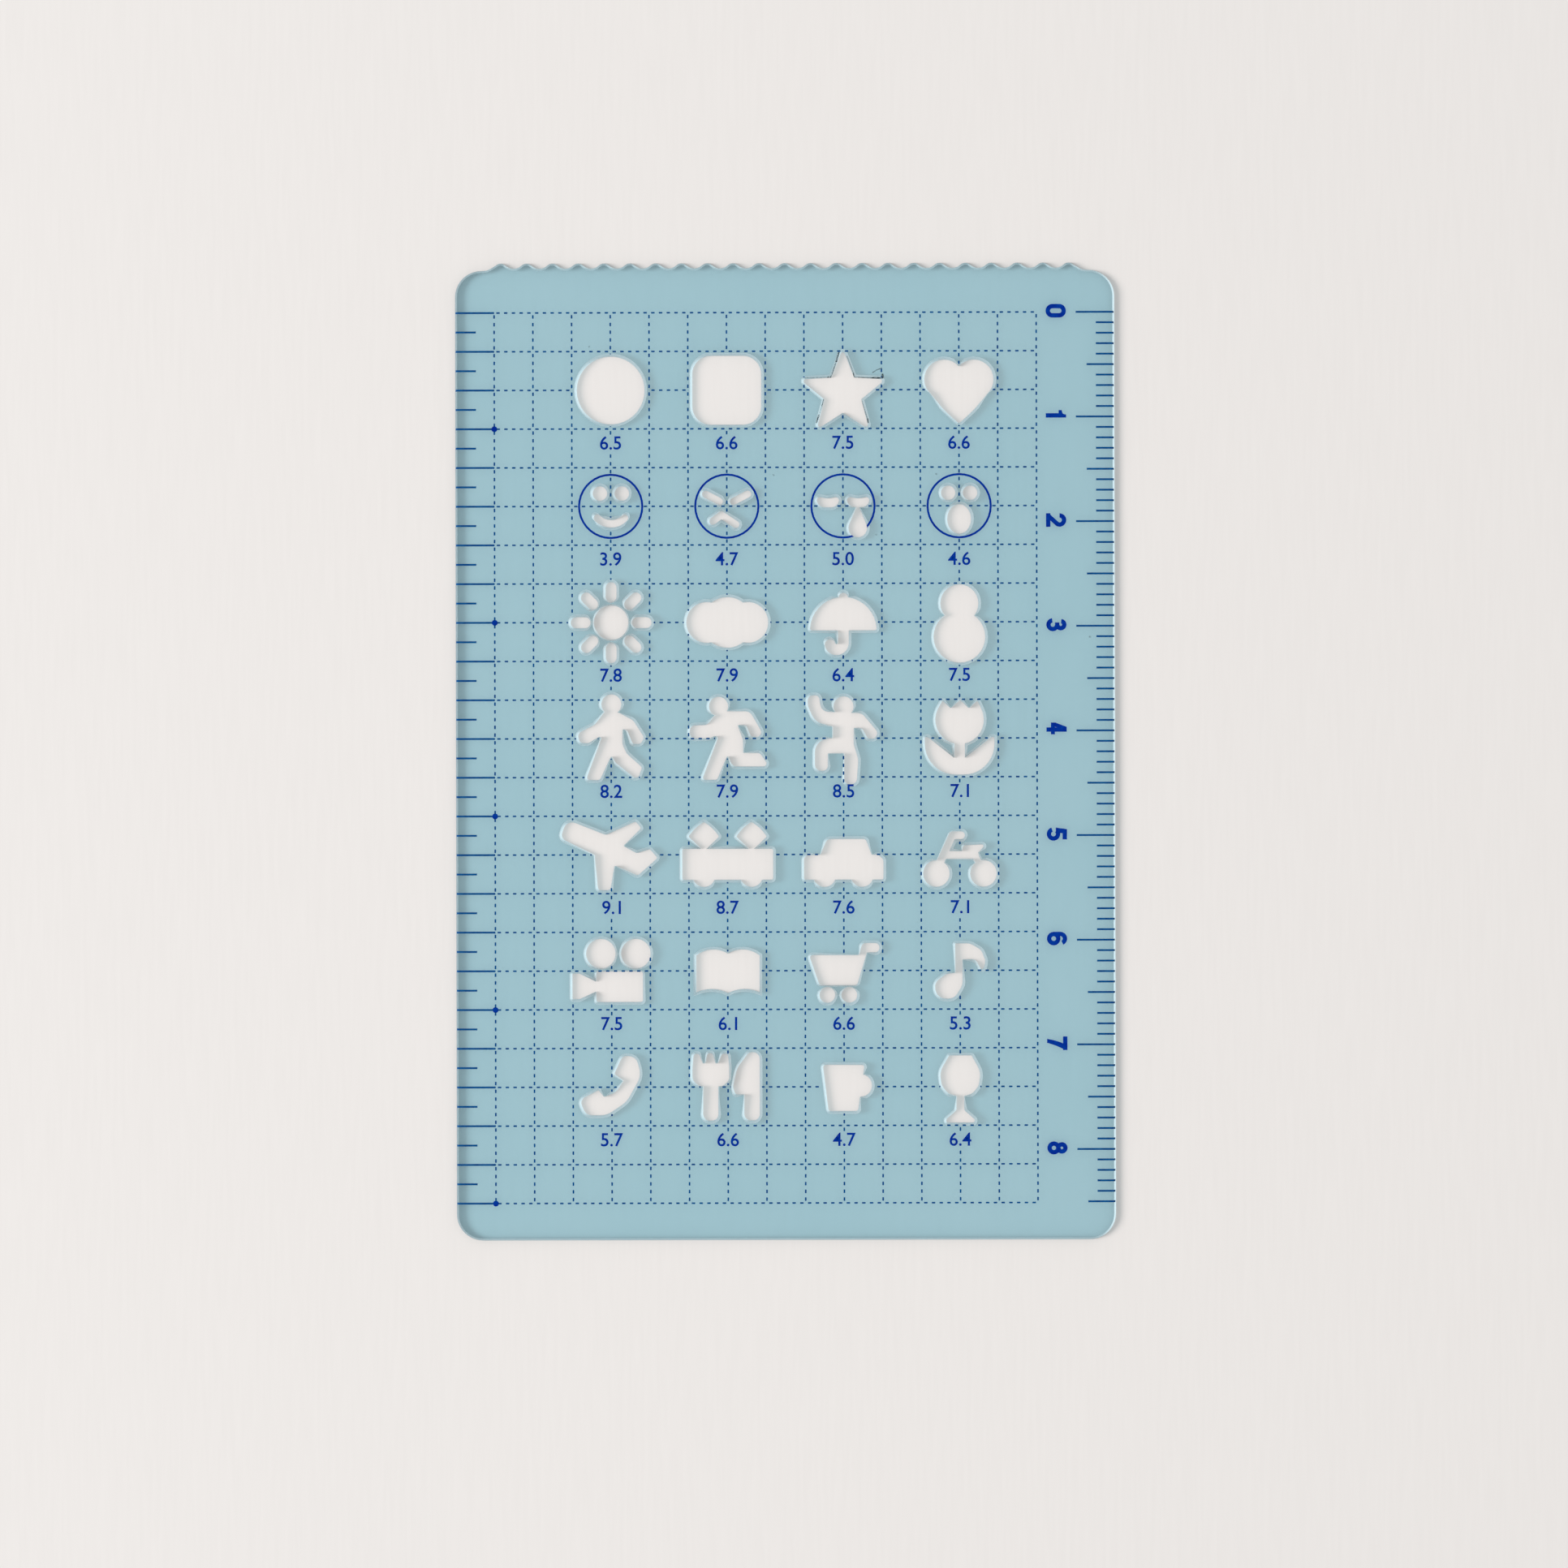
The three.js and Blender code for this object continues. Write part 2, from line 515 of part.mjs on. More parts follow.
function book() {
  const half = BOOK_HALF_WIDTH;
  return [new THREE.Shape([
    ...bowed([-half, 1.45], [0, 1.64], BOOK_TOP_BOW),
    ...bowed([0, 1.64], [half, 1.45], BOOK_TOP_BOW),
    new THREE.Vector2(half, 1.45),
    ...bowed([half, -2.08], [0, -2.14], -BOOK_BOTTOM_BOW),
    ...bowed([0, -2.14], [-half, -2.08], -BOOK_BOTTOM_BOW),
    new THREE.Vector2(-half, -2.08),
  ])];
}

function cart() {
  const basket = rounded([
    [-3.35, 1.48, 0.25], [1.42, 1.48, 0.08], [1.75, 2.62, 0.45], [3.4, 2.62, 0.42], [3.4, 1.72, 0.42],
    [2.2, 1.72, 0.1], [1.25, CART_FLOOR, 0.3], [-2.35, CART_FLOOR, 0.3],
  ]);
  const wheelY = CART_FLOOR - CART_WHEEL_GAP - CART_WHEEL_RADIUS;
  return [basket, ...CART_WHEEL_X.map((x) => disc(x, wheelY, CART_WHEEL_RADIUS))];
}

function note() {
  return [rounded([
    [-0.48, 2.56, 0.08], [0.95, 2.56, 0.9], [2.02, 1.95, 0.9], [2.44, 0.9, 0.8], [2.28, 0.1, 0.14],
    [1.95, 0.14, 0.1], [1.45, 1.04, 0.5], [0.22, 1.04, 0.08], [0.25, -1.4, 1.2], [-0.55, -2.72, 0.95],
    [-2.25, -2.72, 1], [-2.46, -1.2, 0.9], [-1.35, -0.36, 0.9], [-0.48, -0.24, 0.05],
  ])];
}

function handset() {
  return [rounded([
    [0.2, 1.25, 0.12], [0.98, 2.95, 0.6], [2.28, 2.95, 0.9], [2.8, 1.1, 1.8], [1.42, -1.4, 2.5],
    [-0.5, -2.7, 2], [-2.5, -2.72, 0.9], [-3.12, -1.25, 0.6], [-1.3, -0.28, 0.12], [-0.75, -0.95, 0.12],
    [0.35, -0.5, 1.2], [1.08, 0.6, 0.08],
  ])];
}

function forkAndKnife() {
  const fork = rounded([
    [-3.42, 1.8, 1], [-3.3, 3.17, 0.3], [-2.78, 3.17, 0.24], [-2.42, 2.24, 0.14], [-2.2, 2.24, 0.14],
    [-1.98, 3.22, 0.25], [-1.48, 3.22, 0.25], [-1.2, 2.24, 0.14], [-0.98, 2.24, 0.14], [-0.58, 3.17, 0.24],
    [0, 3.17, 0.3], [0.11, 1.8, 1], [0.11, 0.62, 0.7], [-0.5, 0.08, 0.4], [-0.93, 0.04, 0.04],
    [-0.93, -3.25, 0.62], [-2.4, -3.25, 0.62], [-2.4, 0.04, 0.04], [-2.8, 0.08, 0.4], [-3.42, 0.62, 0.7],
  ]);
  const knife = rounded([
    [3.03, 3.31, 0.66], [1.98, 3.31, 0.6], [0.84, 1.76, 2.3], [0.45, -0.06, 0.5], [0.67, -0.74, 0.3],
    [1.53, -0.74, 0.05], [1.53, -3.23, 0.64], [3.03, -3.23, 0.64],
  ]);
  return [fork, knife];
}

function mug() {
  const body = rounded([[-2.05, 2.08, 0.25], [1.95, 2.05, 0.2], [1.32, -2.35, 0.25], [-1.5, -2.35, 0.25]]);
  return [body, disc(1.58, 0.1, MUG_HANDLE_RADIUS)];
}

function wineGlass() {
  return [rounded([
    [-1.07, 2.95, 0.12], [1.09, 2.95, 0.12], [1.96, 1.35, 1.7], [1.77, 0.05, 1], [1.19, -0.68, 0.8],
    [0.38, -0.94, 0.05], [0.38, -2.3, 0.3], [1.38, -3.16, 0.2], [1.34, -3.48, 0.15], [-1.34, -3.48, 0.15],
    [-1.38, -3.16, 0.2], [-0.38, -2.3, 0.3], [-0.38, -0.94, 0.05], [-1.19, -0.68, 0.8], [-1.78, 0.05, 1],
    [-1.98, 1.35, 1.7],
  ])];
}

const FIGURES = [
  [ball, square, star, heart],
  [smilingFace, crossFace, cryingFace, surprisedFace],
  [sun, cloud, umbrella, snowman],
  [walker, runner, cheerer, tulip],
  [airplane, train, car, bicycle],
  [filmCamera, book, cart, note],
  [handset, forkAndKnife, mug, wineGlass],
];
const FACE_ROW = 1;
const FACE_NAMES = ["smiling", "cross", "crying", "surprised"];

const cellX = (column) => gridX(FIRST_CELL_COLUMN + CELL_STEP * column);
const cellY = (row) => gridY(FIRST_CELL_ROW + CELL_STEP * row);

// Solids

/** A manifold solid from a flat shape raised from z = base by a height, moved across to (x, y). */
function solid(shape, base, height, x = 0, y = 0) {
  const geometry = new THREE.ExtrudeGeometry(shape, { depth: height, bevelEnabled: false });
  geometry.translate(x, y, base);
  geometry.deleteAttribute("normal");
  geometry.deleteAttribute("uv");
  const merged = mergeVertices(geometry, 1e-5);
  return new wasm.Manifold(new wasm.Mesh({
    numProp: 3,
    vertProperties: merged.attributes.position.array,
    triVerts: Uint32Array.from(merged.index.array),
  }));
}

/** One solid of several flat shapes joined. */
function joined(shapes, base, height, x = 0, y = 0) {
  return shapes.map((shape) => solid(shape, base, height, x, y)).reduce((sum, next) => sum.add(next));
}

/** A named mesh of a manifold solid. */
function piece(name, manifold, material) {
  const { vertProperties, triVerts } = manifold.getMesh();
  const geometry = new THREE.BufferGeometry();
  geometry.setAttribute("position", new THREE.BufferAttribute(vertProperties, 3));
  geometry.setIndex(new THREE.BufferAttribute(triVerts, 1));
  geometry.computeVertexNormals();
  const mesh = new THREE.Mesh(geometry, material);
  mesh.name = name;
  return mesh;
}

/** The through cut of one figure, in the sheet's place. */
function figureCut(row, column) {
  const shapes = FIGURES[row][column]();
  return joined(shapes, -OVERCUT, SHEET_THICKNESS + 2 * OVERCUT, cellX(column), cellY(row));
}

/** The scalloped top edge from right to left: round tips and hollows that meet in a tangent. */
function scallopedEdge() {
  const gaps = Math.floor((SHEET_WIDTH - 2 * SHOULDER_LENGTH) / SCALLOP_PITCH);
  const lean = 2 * Math.atan(SCALLOP_DEPTH / (SCALLOP_PITCH / 2));
  const hollowRadius = SCALLOP_PITCH / 2 / Math.sin(lean) - SCALLOP_TIP_RADIUS;
  const points = [];
  for (let tip = 0; tip <= gaps; tip += 1) {
    const x = (gaps / 2 - tip) * SCALLOP_PITCH;
    const tipY = SHEET_TOP - SCALLOP_TIP_RADIUS;
    points.push(...arc(x, tipY, SCALLOP_TIP_RADIUS, Math.PI / 2 - lean, 2 * lean));
    if (tip < gaps) {
      const hollowY = SHEET_TOP - SCALLOP_DEPTH + hollowRadius;
      const hollow = arc(x - SCALLOP_PITCH / 2, hollowY, hollowRadius, lean - Math.PI / 2, -2 * lean);
      points.push(...hollow.slice(1, -1));
    }
  }
  return points;
}

function sheetOutline() {
  const edge = scallopedEdge();
  const shoulderY = SHEET_TOP - SHOULDER_DROP;
  const footX = edge[0].x + SHOULDER_DROP - SCALLOP_DEPTH + SCALLOP_TIP_RADIUS;
  const plain = roundedPoints([
    edge.at(-1).toArray(), [-footX, shoulderY, SHOULDER_ROUND],
    [-SHEET_RIGHT, shoulderY, CORNER_RADIUS], [-SHEET_RIGHT, -SHEET_TOP, CORNER_RADIUS],
    [SHEET_RIGHT, -SHEET_TOP, CORNER_RADIUS], [SHEET_RIGHT, shoulderY, CORNER_RADIUS],
    [footX, shoulderY, SHOULDER_ROUND], edge[0].toArray(),
  ]);
  return new THREE.Shape([...edge, ...plain.slice(1, -1)]);
}

function sheet() {
  const cuts = FIGURES.flatMap((figures, row) => figures.map((_, column) => figureCut(row, column)));
  const blank = solid(sheetOutline(), 0, SHEET_THICKNESS);
  return piece("stencil_sheet", cuts.reduce((left, cut) => left.subtract(cut), blank), sheetPlastic);
}

// Print, a thin film on the upper face

const printed = (shapes, x = 0, y = 0) => joined(shapes, SHEET_THICKNESS, INK_FILM, x, y);

/** Rings around the faces, each broken where its own cut-out crosses it. */
function faceRings() {
  return FACE_NAMES.map((name, column) => {
    const film = printed([ring(0, 0, FACE_RING_RADIUS, FACE_RING_LINE)], cellX(column), cellY(FACE_ROW));
    return piece(`face_ring_${name}`, film.subtract(figureCut(FACE_ROW, column)), printInk);
  });
}

/** Marks along the left edge, one for each grid row, with a dot at the end of every fifth. */
function rowTicks() {
  return Array.from({ length: GRID_ROWS + 1 }, (_, row) => {
    const line = bar(TICK_EDGE_GAP - SHEET_RIGHT, -TICK_LINE / 2, gridX(0), TICK_LINE / 2);
    const dotted = row % DOT_ROW_STEP === FIRST_DOT_ROW;
    const shapes = dotted ? [line, disc(gridX(0), 0, DOT_RADIUS)] : [line];
    return piece(`row_tick_${String(row).padStart(2, "0")}`, printed(shapes, 0, gridY(row)), printInk);
  });
}

/** Marks along the right edge, every half centimetre from the first grid row. */
function rulerTicks() {
  return Array.from({ length: HALF_CENTIMETRES + 1 }, (_, half) => {
    const whole = half % 2 === 0;
    const length = whole ? CENTIMETRE_TICK : HALF_CENTIMETRE_TICK;
    const line = bar(SHEET_RIGHT - length, -TICK_LINE / 2, SHEET_RIGHT - TICK_EDGE_GAP, TICK_LINE / 2);
    const name = whole ? `centimetre_tick_${half / 2}` : `half_centimetre_tick_${(half - 1) / 2}`;
    return piece(name, printed([line], 0, gridY(0) - (half * CENTIMETRE) / 2), printInk);
  });
}

/** The strokes of each digit, drawn upright about its middle. */
function digitShapes(digit) {
  const top = NUMERAL_HEIGHT / 2;
  const right = NUMERAL_WIDTH / 2;
  const pen = NUMERAL_STROKE;
  const line = right - pen / 2;
  const lowY = -top + line + pen / 2;
  const highY = top - line - pen / 2;
  const lowLoop = 0.275 * (NUMERAL_HEIGHT - pen);
  const highLoop = 0.5 * (NUMERAL_HEIGHT - pen) - lowLoop;
  const lowLoopY = -top + lowLoop + pen / 2;
  const highLoopY = top - highLoop - pen / 2;
  const turn = Math.PI;
  const pictures = [
    () => {
      const oval = bar(-right, -top, right, top, right);
      const inside = bar(pen - right, pen - top, right - pen, top - pen, right - pen);
      oval.holes.push(new THREE.Path(inside.getPoints()));
      return [oval];
    },
    () => [rounded([
      [pen / 2, top], [pen / 2, -top], [-pen / 2, -top], [-pen / 2, top - 1.7 * pen],
      [pen / 3 - right, top - 1.7 * pen], [pen / 3 - right, top - pen],
      [-pen / 3, top - 0.8 * pen, pen / 2], [-pen / 5, top],
    ])],
    () => [
      bow(0, highY, line, turn, -turn * 1.2, pen),
      band(line * 0.86, highY - line * 0.45, -line * 0.95, pen / 2 - top, pen),
      bar(-right, -top, right, pen - top),
    ],
    () => [
      bow(0, highLoopY, highLoop, turn * 0.96, -turn * 1.46, pen),
      bow(0, lowLoopY, lowLoop, turn / 2, -turn * 1.46, pen),
      bar(-pen * 0.5, lowLoopY + lowLoop - pen / 2, pen * 0.1, lowLoopY + lowLoop + pen / 2),
    ],
    () => {
      const cross = -top + 0.22 * NUMERAL_HEIGHT;
      const slope = rounded([
        [right - pen, top], [right - 2.1 * pen, top], [-right, cross + pen], [-right, cross],
        [pen - right, cross], [pen - right, cross + 0.8 * pen], [right - 1.9 * pen, top - 1.6 * pen],
      ]);
      const post = bar(right - 2 * pen, -top, right - pen, top);
      return [slope, post, bar(-right, cross, right - 0.4 * pen, cross + 0.9 * pen)];
    },
    () => [
      bar(-line, top - pen, right - 0.3 * pen, top),
      rounded([[-line - 0.02, top], [pen - line, top], [pen * 0.7 - line, -0.1], [-line - 0.4 * pen, -0.1]]),
      bow(0, lowY, line, turn * 0.76, -turn * 1.66, pen),
    ],
    () => [
      ring(0, lowY, line, pen),
      bar(-right, lowY, pen - right, highY),
      bow(0, highY, line, turn, -turn * 0.86, pen),
    ],
    () => {
      const leg = new THREE.Shape([
        ...bowed([right - 1.35 * pen, top - pen / 2], [-pen, -top], -pen / 7),
        new THREE.Vector2(-pen, -top),
        ...bowed([-0.1 * pen, -top], [right, top - pen / 2], pen / 7),
        new THREE.Vector2(right, top - pen / 2),
      ]);
      return [bar(-right, top - pen, right, top), leg];
    },
    () => [ring(0, highLoopY, highLoop, pen), ring(0, lowLoopY, lowLoop, pen)],
  ];
  return pictures[digit]();
}

/** Centimetre numbers beside the right-hand marks, turned to be read from the right. */
function rulerNumerals() {
  const group = new THREE.Group();
  const x = SHEET_RIGHT - CENTIMETRE_TICK - NUMERAL_TICK_GAP - NUMERAL_HEIGHT / 2;
  const count = Math.min(Math.floor(HALF_CENTIMETRES / 2), 8) + 1;
  for (let centimetre = 0; centimetre < count; centimetre += 1) {
    const numeral = piece(`ruler_numeral_${centimetre}`, printed(digitShapes(centimetre)), printInk);
    numeral.position.set(x, gridY(0) - centimetre * CENTIMETRE + NUMERAL_LIFT, 0);
    numeral.rotation.z = -Math.PI / 2;
    group.add(numeral);
  }
  return group;
}

const stencil = new THREE.Group();
stencil.name = "planner_stencil";
stencil.add(sheet(), ...faceRings(), ...rowTicks(), ...rulerTicks(), rulerNumerals());

export default stencil;
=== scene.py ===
"""A planner stencil as a finished picture: a clear tinted sheet with cut-outs, printed in dark blue."""

import logging
import math
from dataclasses import asdict, dataclass
from enum import Enum
from functools import cache

import bmesh
import bpy
import numpy as np
from bpy.types import Material, Mesh, Node, NodeSocket, NodeTree, Object
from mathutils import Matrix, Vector
from mathutils.geometry import delaunay_2d_cdt


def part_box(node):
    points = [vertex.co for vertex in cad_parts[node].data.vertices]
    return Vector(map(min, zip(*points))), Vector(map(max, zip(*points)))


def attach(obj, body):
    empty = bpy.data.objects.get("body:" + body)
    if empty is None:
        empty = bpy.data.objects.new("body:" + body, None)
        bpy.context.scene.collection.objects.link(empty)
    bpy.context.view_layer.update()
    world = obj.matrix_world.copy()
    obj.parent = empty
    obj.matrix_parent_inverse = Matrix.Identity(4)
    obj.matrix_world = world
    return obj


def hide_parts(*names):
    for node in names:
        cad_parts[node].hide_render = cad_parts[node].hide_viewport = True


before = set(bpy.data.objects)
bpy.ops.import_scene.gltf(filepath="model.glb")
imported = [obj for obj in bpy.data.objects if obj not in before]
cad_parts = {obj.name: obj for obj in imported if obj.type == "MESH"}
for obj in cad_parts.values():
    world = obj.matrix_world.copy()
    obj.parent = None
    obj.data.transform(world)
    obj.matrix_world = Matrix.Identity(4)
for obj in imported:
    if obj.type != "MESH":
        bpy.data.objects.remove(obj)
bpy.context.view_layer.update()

LOG = logging.getLogger("planner_stencil")
MM = 0.001
BODY = "root"
SHEET_NODE = "stencil_sheet"
INK_FILM = 0.02 * MM
WELD = 1e-7
NEXT_TO_NOTHING = 1e-15

Colour = tuple[float, float, float, float]
Source = NodeSocket | tuple[float, ...] | float
Inputs = dict[str | int, Source]


class Slot(Enum):
    """Material slots of the record."""

    PLASTIC = "tinted_plastic"
    INK = "print_ink"


class Line(Enum):
    """The way a printed line runs, as the turn of its marks in radians."""

    ACROSS = 0.0
    ALONG = math.pi / 2
    BACK = math.pi


# Helpers


def add_object(name: str, data: bpy.types.ID) -> Object:
    """Adds an object to the scene.

    Args:
        name: Its name.
        data: What it holds, such as a mesh or a lamp.

    Returns:
        The object.
    """
    holder = bpy.data.objects.new(name, data)
    bpy.context.scene.collection.objects.link(holder)
    return holder


def linear(*display: int) -> Colour:
    """Turns an 8-bit display colour into a linear RGBA colour."""
    parts = [value / 255 for value in display]
    return (*(v / 12.92 if v <= 0.04045 else ((v + 0.055) / 1.055) ** 2.4 for v in parts), 1.0)


def inputs_of(values: object) -> Inputs:
    """Gives a dataclass's fields as a node group's inputs, so that corner_steps becomes Corner Steps."""
    return {name.replace("_", " ").title(): value for name, value in asdict(values).items()}


class Nodes:
    """A node tree in the making."""

    def __init__(self, tree: NodeTree) -> None:
        """Takes the tree."""
        self.tree = tree

    def fill(self, node: Node, values: Inputs) -> None:
        """Fills inputs of a node.

        Args:
            node: The node.
            values: A socket to link or a value to set, by the input's name or index.
        """
        for key, value in values.items():
            if isinstance(value, NodeSocket):
                self.tree.links.new(value, node.inputs[key])
            else:
                node.inputs[key].default_value = value

    def node(self, kind: str, values: Inputs | None = None, **props: object) -> Node:
        """Adds a node.

        Args:
            kind: Blender's name of its type.
            values: Its inputs, as fill takes them.
            props: Its properties, which are set first.

        Returns:
            The node.
        """
        node = self.tree.nodes.new(kind)
        for name, value in props.items():
            setattr(node, name, value)
        self.fill(node, values or {})
        return node

    def add(
        self, kind: str, values: Inputs | None = None, output: str | int = 0, **props: object
    ) -> NodeSocket:
        """Adds a node and gives one of its outputs."""
        return self.node(kind, values, **props).outputs[output]

    def math(self, operation: str, *sources: Source, clamp: bool = False) -> NodeSocket:
        """Adds a Math node, with a result between 0 and 1 where clamp is True."""
        return self.add("ShaderNodeMath", dict(enumerate(sources)), operation=operation, use_clamp=clamp)

    def vector(self, operation: str, *sources: Source, output: str = "Vector") -> NodeSocket:
        """Adds a Vector Math node and gives the named output."""
        return self.add("ShaderNodeVectorMath", dict(enumerate(sources)), output, operation=operation)

    def mix(self, mask: Source, below: Source, above: Source) -> NodeSocket:
        """Adds a mix, which is the colour below where the mask is 0 and the one above where it is 1."""
        return self.add("ShaderNodeMix", {0: mask, 6: below, 7: above}, 2, data_type="RGBA")


class Group(Nodes):
    """A node group in the making."""

    def __init__(self, name: str, kind: str, inputs: dict[str, str], output: tuple[str, str]) -> None:
        """Starts the group.

        Args:
            name: Its name.
            kind: Blender's name of its type.
            inputs: Short socket type, such as Float, of each input, by its name.
            output: Name and short socket type of the output.
        """
        super().__init__(bpy.data.node_groups.new(name, kind))
        for title, short, way in [(*item, "INPUT") for item in inputs.items()] + [(*output, "OUTPUT")]:
            self.tree.interface.new_socket(title, in_out=way, socket_type="NodeSocket" + short)
        self.sources = self.node("NodeGroupInput").outputs

    def finish(self, result: NodeSocket) -> NodeTree:
        """Links the group's output and gives the finished group."""
        self.fill(self.node("NodeGroupOutput"), {0: result})
        return self.tree


# Effects that several finishes share


@dataclass(frozen=True)
class Mottle:
    """An uneven tone that drifts over a surface.

    Attributes:
        scale: Fineness of the drift, in waves to a metre.
        detail: Finer drifts on top of it.
        low: Its lowest value.
        high: Its highest value.
        stretch: Scale along each axis, small where the drift is drawn out.
        FINE_SHARE: Strength of the finer drifts.
        SPREAD: Stretch of the noise that goes from the lowest value to the highest.
    """

    scale: float
    detail: float
    low: float = 0.0
    high: float = 1.0
    stretch: tuple[float, float, float] = (1.0, 1.0, 1.0)

    FINE_SHARE = 0.55
    SPREAD = {"From Min": 0.3, "From Max": 0.7}

    @classmethod
    @cache
    def _group(cls) -> NodeTree:
        """Builds the shader group, once for all materials.

        Returns:
            The group.
        """
        inputs = {"Stretch": "Vector", **dict.fromkeys(("Scale", "Detail", "Low", "High"), "Float")}
        group = Group("mottle", "ShaderNodeTree", inputs, ("Value", "Float"))
        source = group.sources
        place = group.add("ShaderNodeTexCoord", output="Object")
        noise = group.add("ShaderNodeTexNoise", {
            "Vector": group.vector("MULTIPLY", place, source["Stretch"]),
            "Scale": source["Scale"],
            "Detail": source["Detail"],
            "Roughness": cls.FINE_SHARE,
        })
        levels = {"Value": noise, "To Min": source["Low"], "To Max": source["High"]}
        return group.finish(group.add("ShaderNodeMapRange", levels | cls.SPREAD))

    def place(self, nodes: Nodes) -> NodeSocket:
        """Puts the tone into a material and gives its value."""
        return nodes.add("ShaderNodeGroup", inputs_of(self), node_tree=self._group())


@dataclass(frozen=True)
class PencilTrace:
    """A faint broken stroke that a pencil left, in millimetres on the sheet.

    Attributes:
        start: Where it starts.
        end: Where it ends.
        width: From its middle to where its soft sides end.
        strength: How dark it is.
        GRAIN: Noise that breaks it up.
        SPREAD: Stretch of that noise from bare to full.
        FADE: Steepness of its soft sides.
    """

    start: tuple[float, float]
    end: tuple[float, float]
    width: float
    strength: float

    GRAIN = {"Scale": 9000.0, "Detail": 2.0}
    SPREAD = {"From Min": 0.34, "From Max": 0.5}
    FADE = 2.0

    @classmethod
    @cache
    def _group(cls) -> NodeTree:
        """Builds the shader group, once for all materials.

        Returns:
            The group.
        """
        inputs = {"Start": "Vector", "End": "Vector", "Width": "Float", "Strength": "Float"}
        group = Group("pencil_trace", "ShaderNodeTree", inputs, ("Mask", "Float"))
        source = group.sources
        place = group.add("ShaderNodeTexCoord", output="Object")
        flat = group.vector("MULTIPLY", place, (1.0, 1.0, 0.0))
        run = group.vector("SUBTRACT", source["End"], source["Start"])
        away = group.vector("SUBTRACT", flat, source["Start"])
        along = group.vector("DOT_PRODUCT", away, run, output="Value")
        square = group.vector("DOT_PRODUCT", run, run, output="Value")
        share = group.math("DIVIDE", along, square, clamp=True)
        nearest = group.add("ShaderNodeVectorMath", {0: run, "Scale": share}, operation="SCALE")
        gap = group.vector("LENGTH", group.vector("SUBTRACT", away, nearest), output="Value")
        far = group.math("DIVIDE", gap, source["Width"])
        near = group.math("SUBTRACT", cls.FADE, group.math("MULTIPLY", far, cls.FADE), clamp=True)
        grain = group.add("ShaderNodeTexNoise", {"Vector": place, **cls.GRAIN})
        broken = group.add("ShaderNodeMapRange", {"Value": grain, **cls.SPREAD})
        soft = group.math("MULTIPLY", near, broken)
        return group.finish(group.math("MULTIPLY", soft, source["Strength"]))

    def place(self, nodes: Nodes) -> NodeSocket:
        """Puts the stroke into a material.

        Args:
            nodes: The material's tree.

        Returns:
            Socket of the stroke's mask.
        """
        start, end = [(x * MM, y * MM, 0.0) for x, y in (self.start, self.end)]
        values = {"Start": start, "End": end, "Width": self.width * MM, "Strength": self.strength}
        return nodes.add("ShaderNodeGroup", values, node_tree=self._group())


# Finishes


def new_material(name: str) -> tuple[Material, Nodes, Node]:
    """Starts a node material.

    Args:
        name: Its name.

    Returns:
        The material, its tree and its Principled shader.
    """
    material = bpy.data.materials.new(name)
    material.use_nodes = True
    return material, Nodes(material.node_tree), material.node_tree.nodes["Principled BSDF"]


@dataclass(frozen=True)
class InkFinish:
    """Screen-printed blue ink, nearly matt.

    Attributes:
        name: Name of the finish.
        dense: Colour where the ink lies thick.
        thin: Colour where it lies thin.
        patches: How the two drift.
        gloss: How the roughness drifts.
        sheen: Specular level.
    """

    name: str
    dense: Colour
    thin: Colour
    patches: Mottle = Mottle(2600.0, 4.0)
    gloss: Mottle = Mottle(5200.0, 2.0, 0.45, 0.62)
    sheen: float = 0.05

    def build(self) -> Material:
        """Makes the ink's material.

        Returns:
            The material.
        """
        material, nodes, shader = new_material(self.name)
        nodes.fill(shader, {
            "Base Color": nodes.mix(self.patches.place(nodes), self.dense, self.thin),
            "Roughness": self.gloss.place(nodes),
            "Specular IOR Level": self.sheen,
        })
        return material


@dataclass(frozen=True)
class Inks:
    """The print's two strengths: numbers and circles, and the fine lines that the sheet shows through."""

    bold: InkFinish = InkFinish("bold_print", linear(0, 34, 138), linear(0, 60, 157))
    fine: InkFinish = InkFinish("fine_print", linear(4, 62, 122), linear(17, 87, 143))


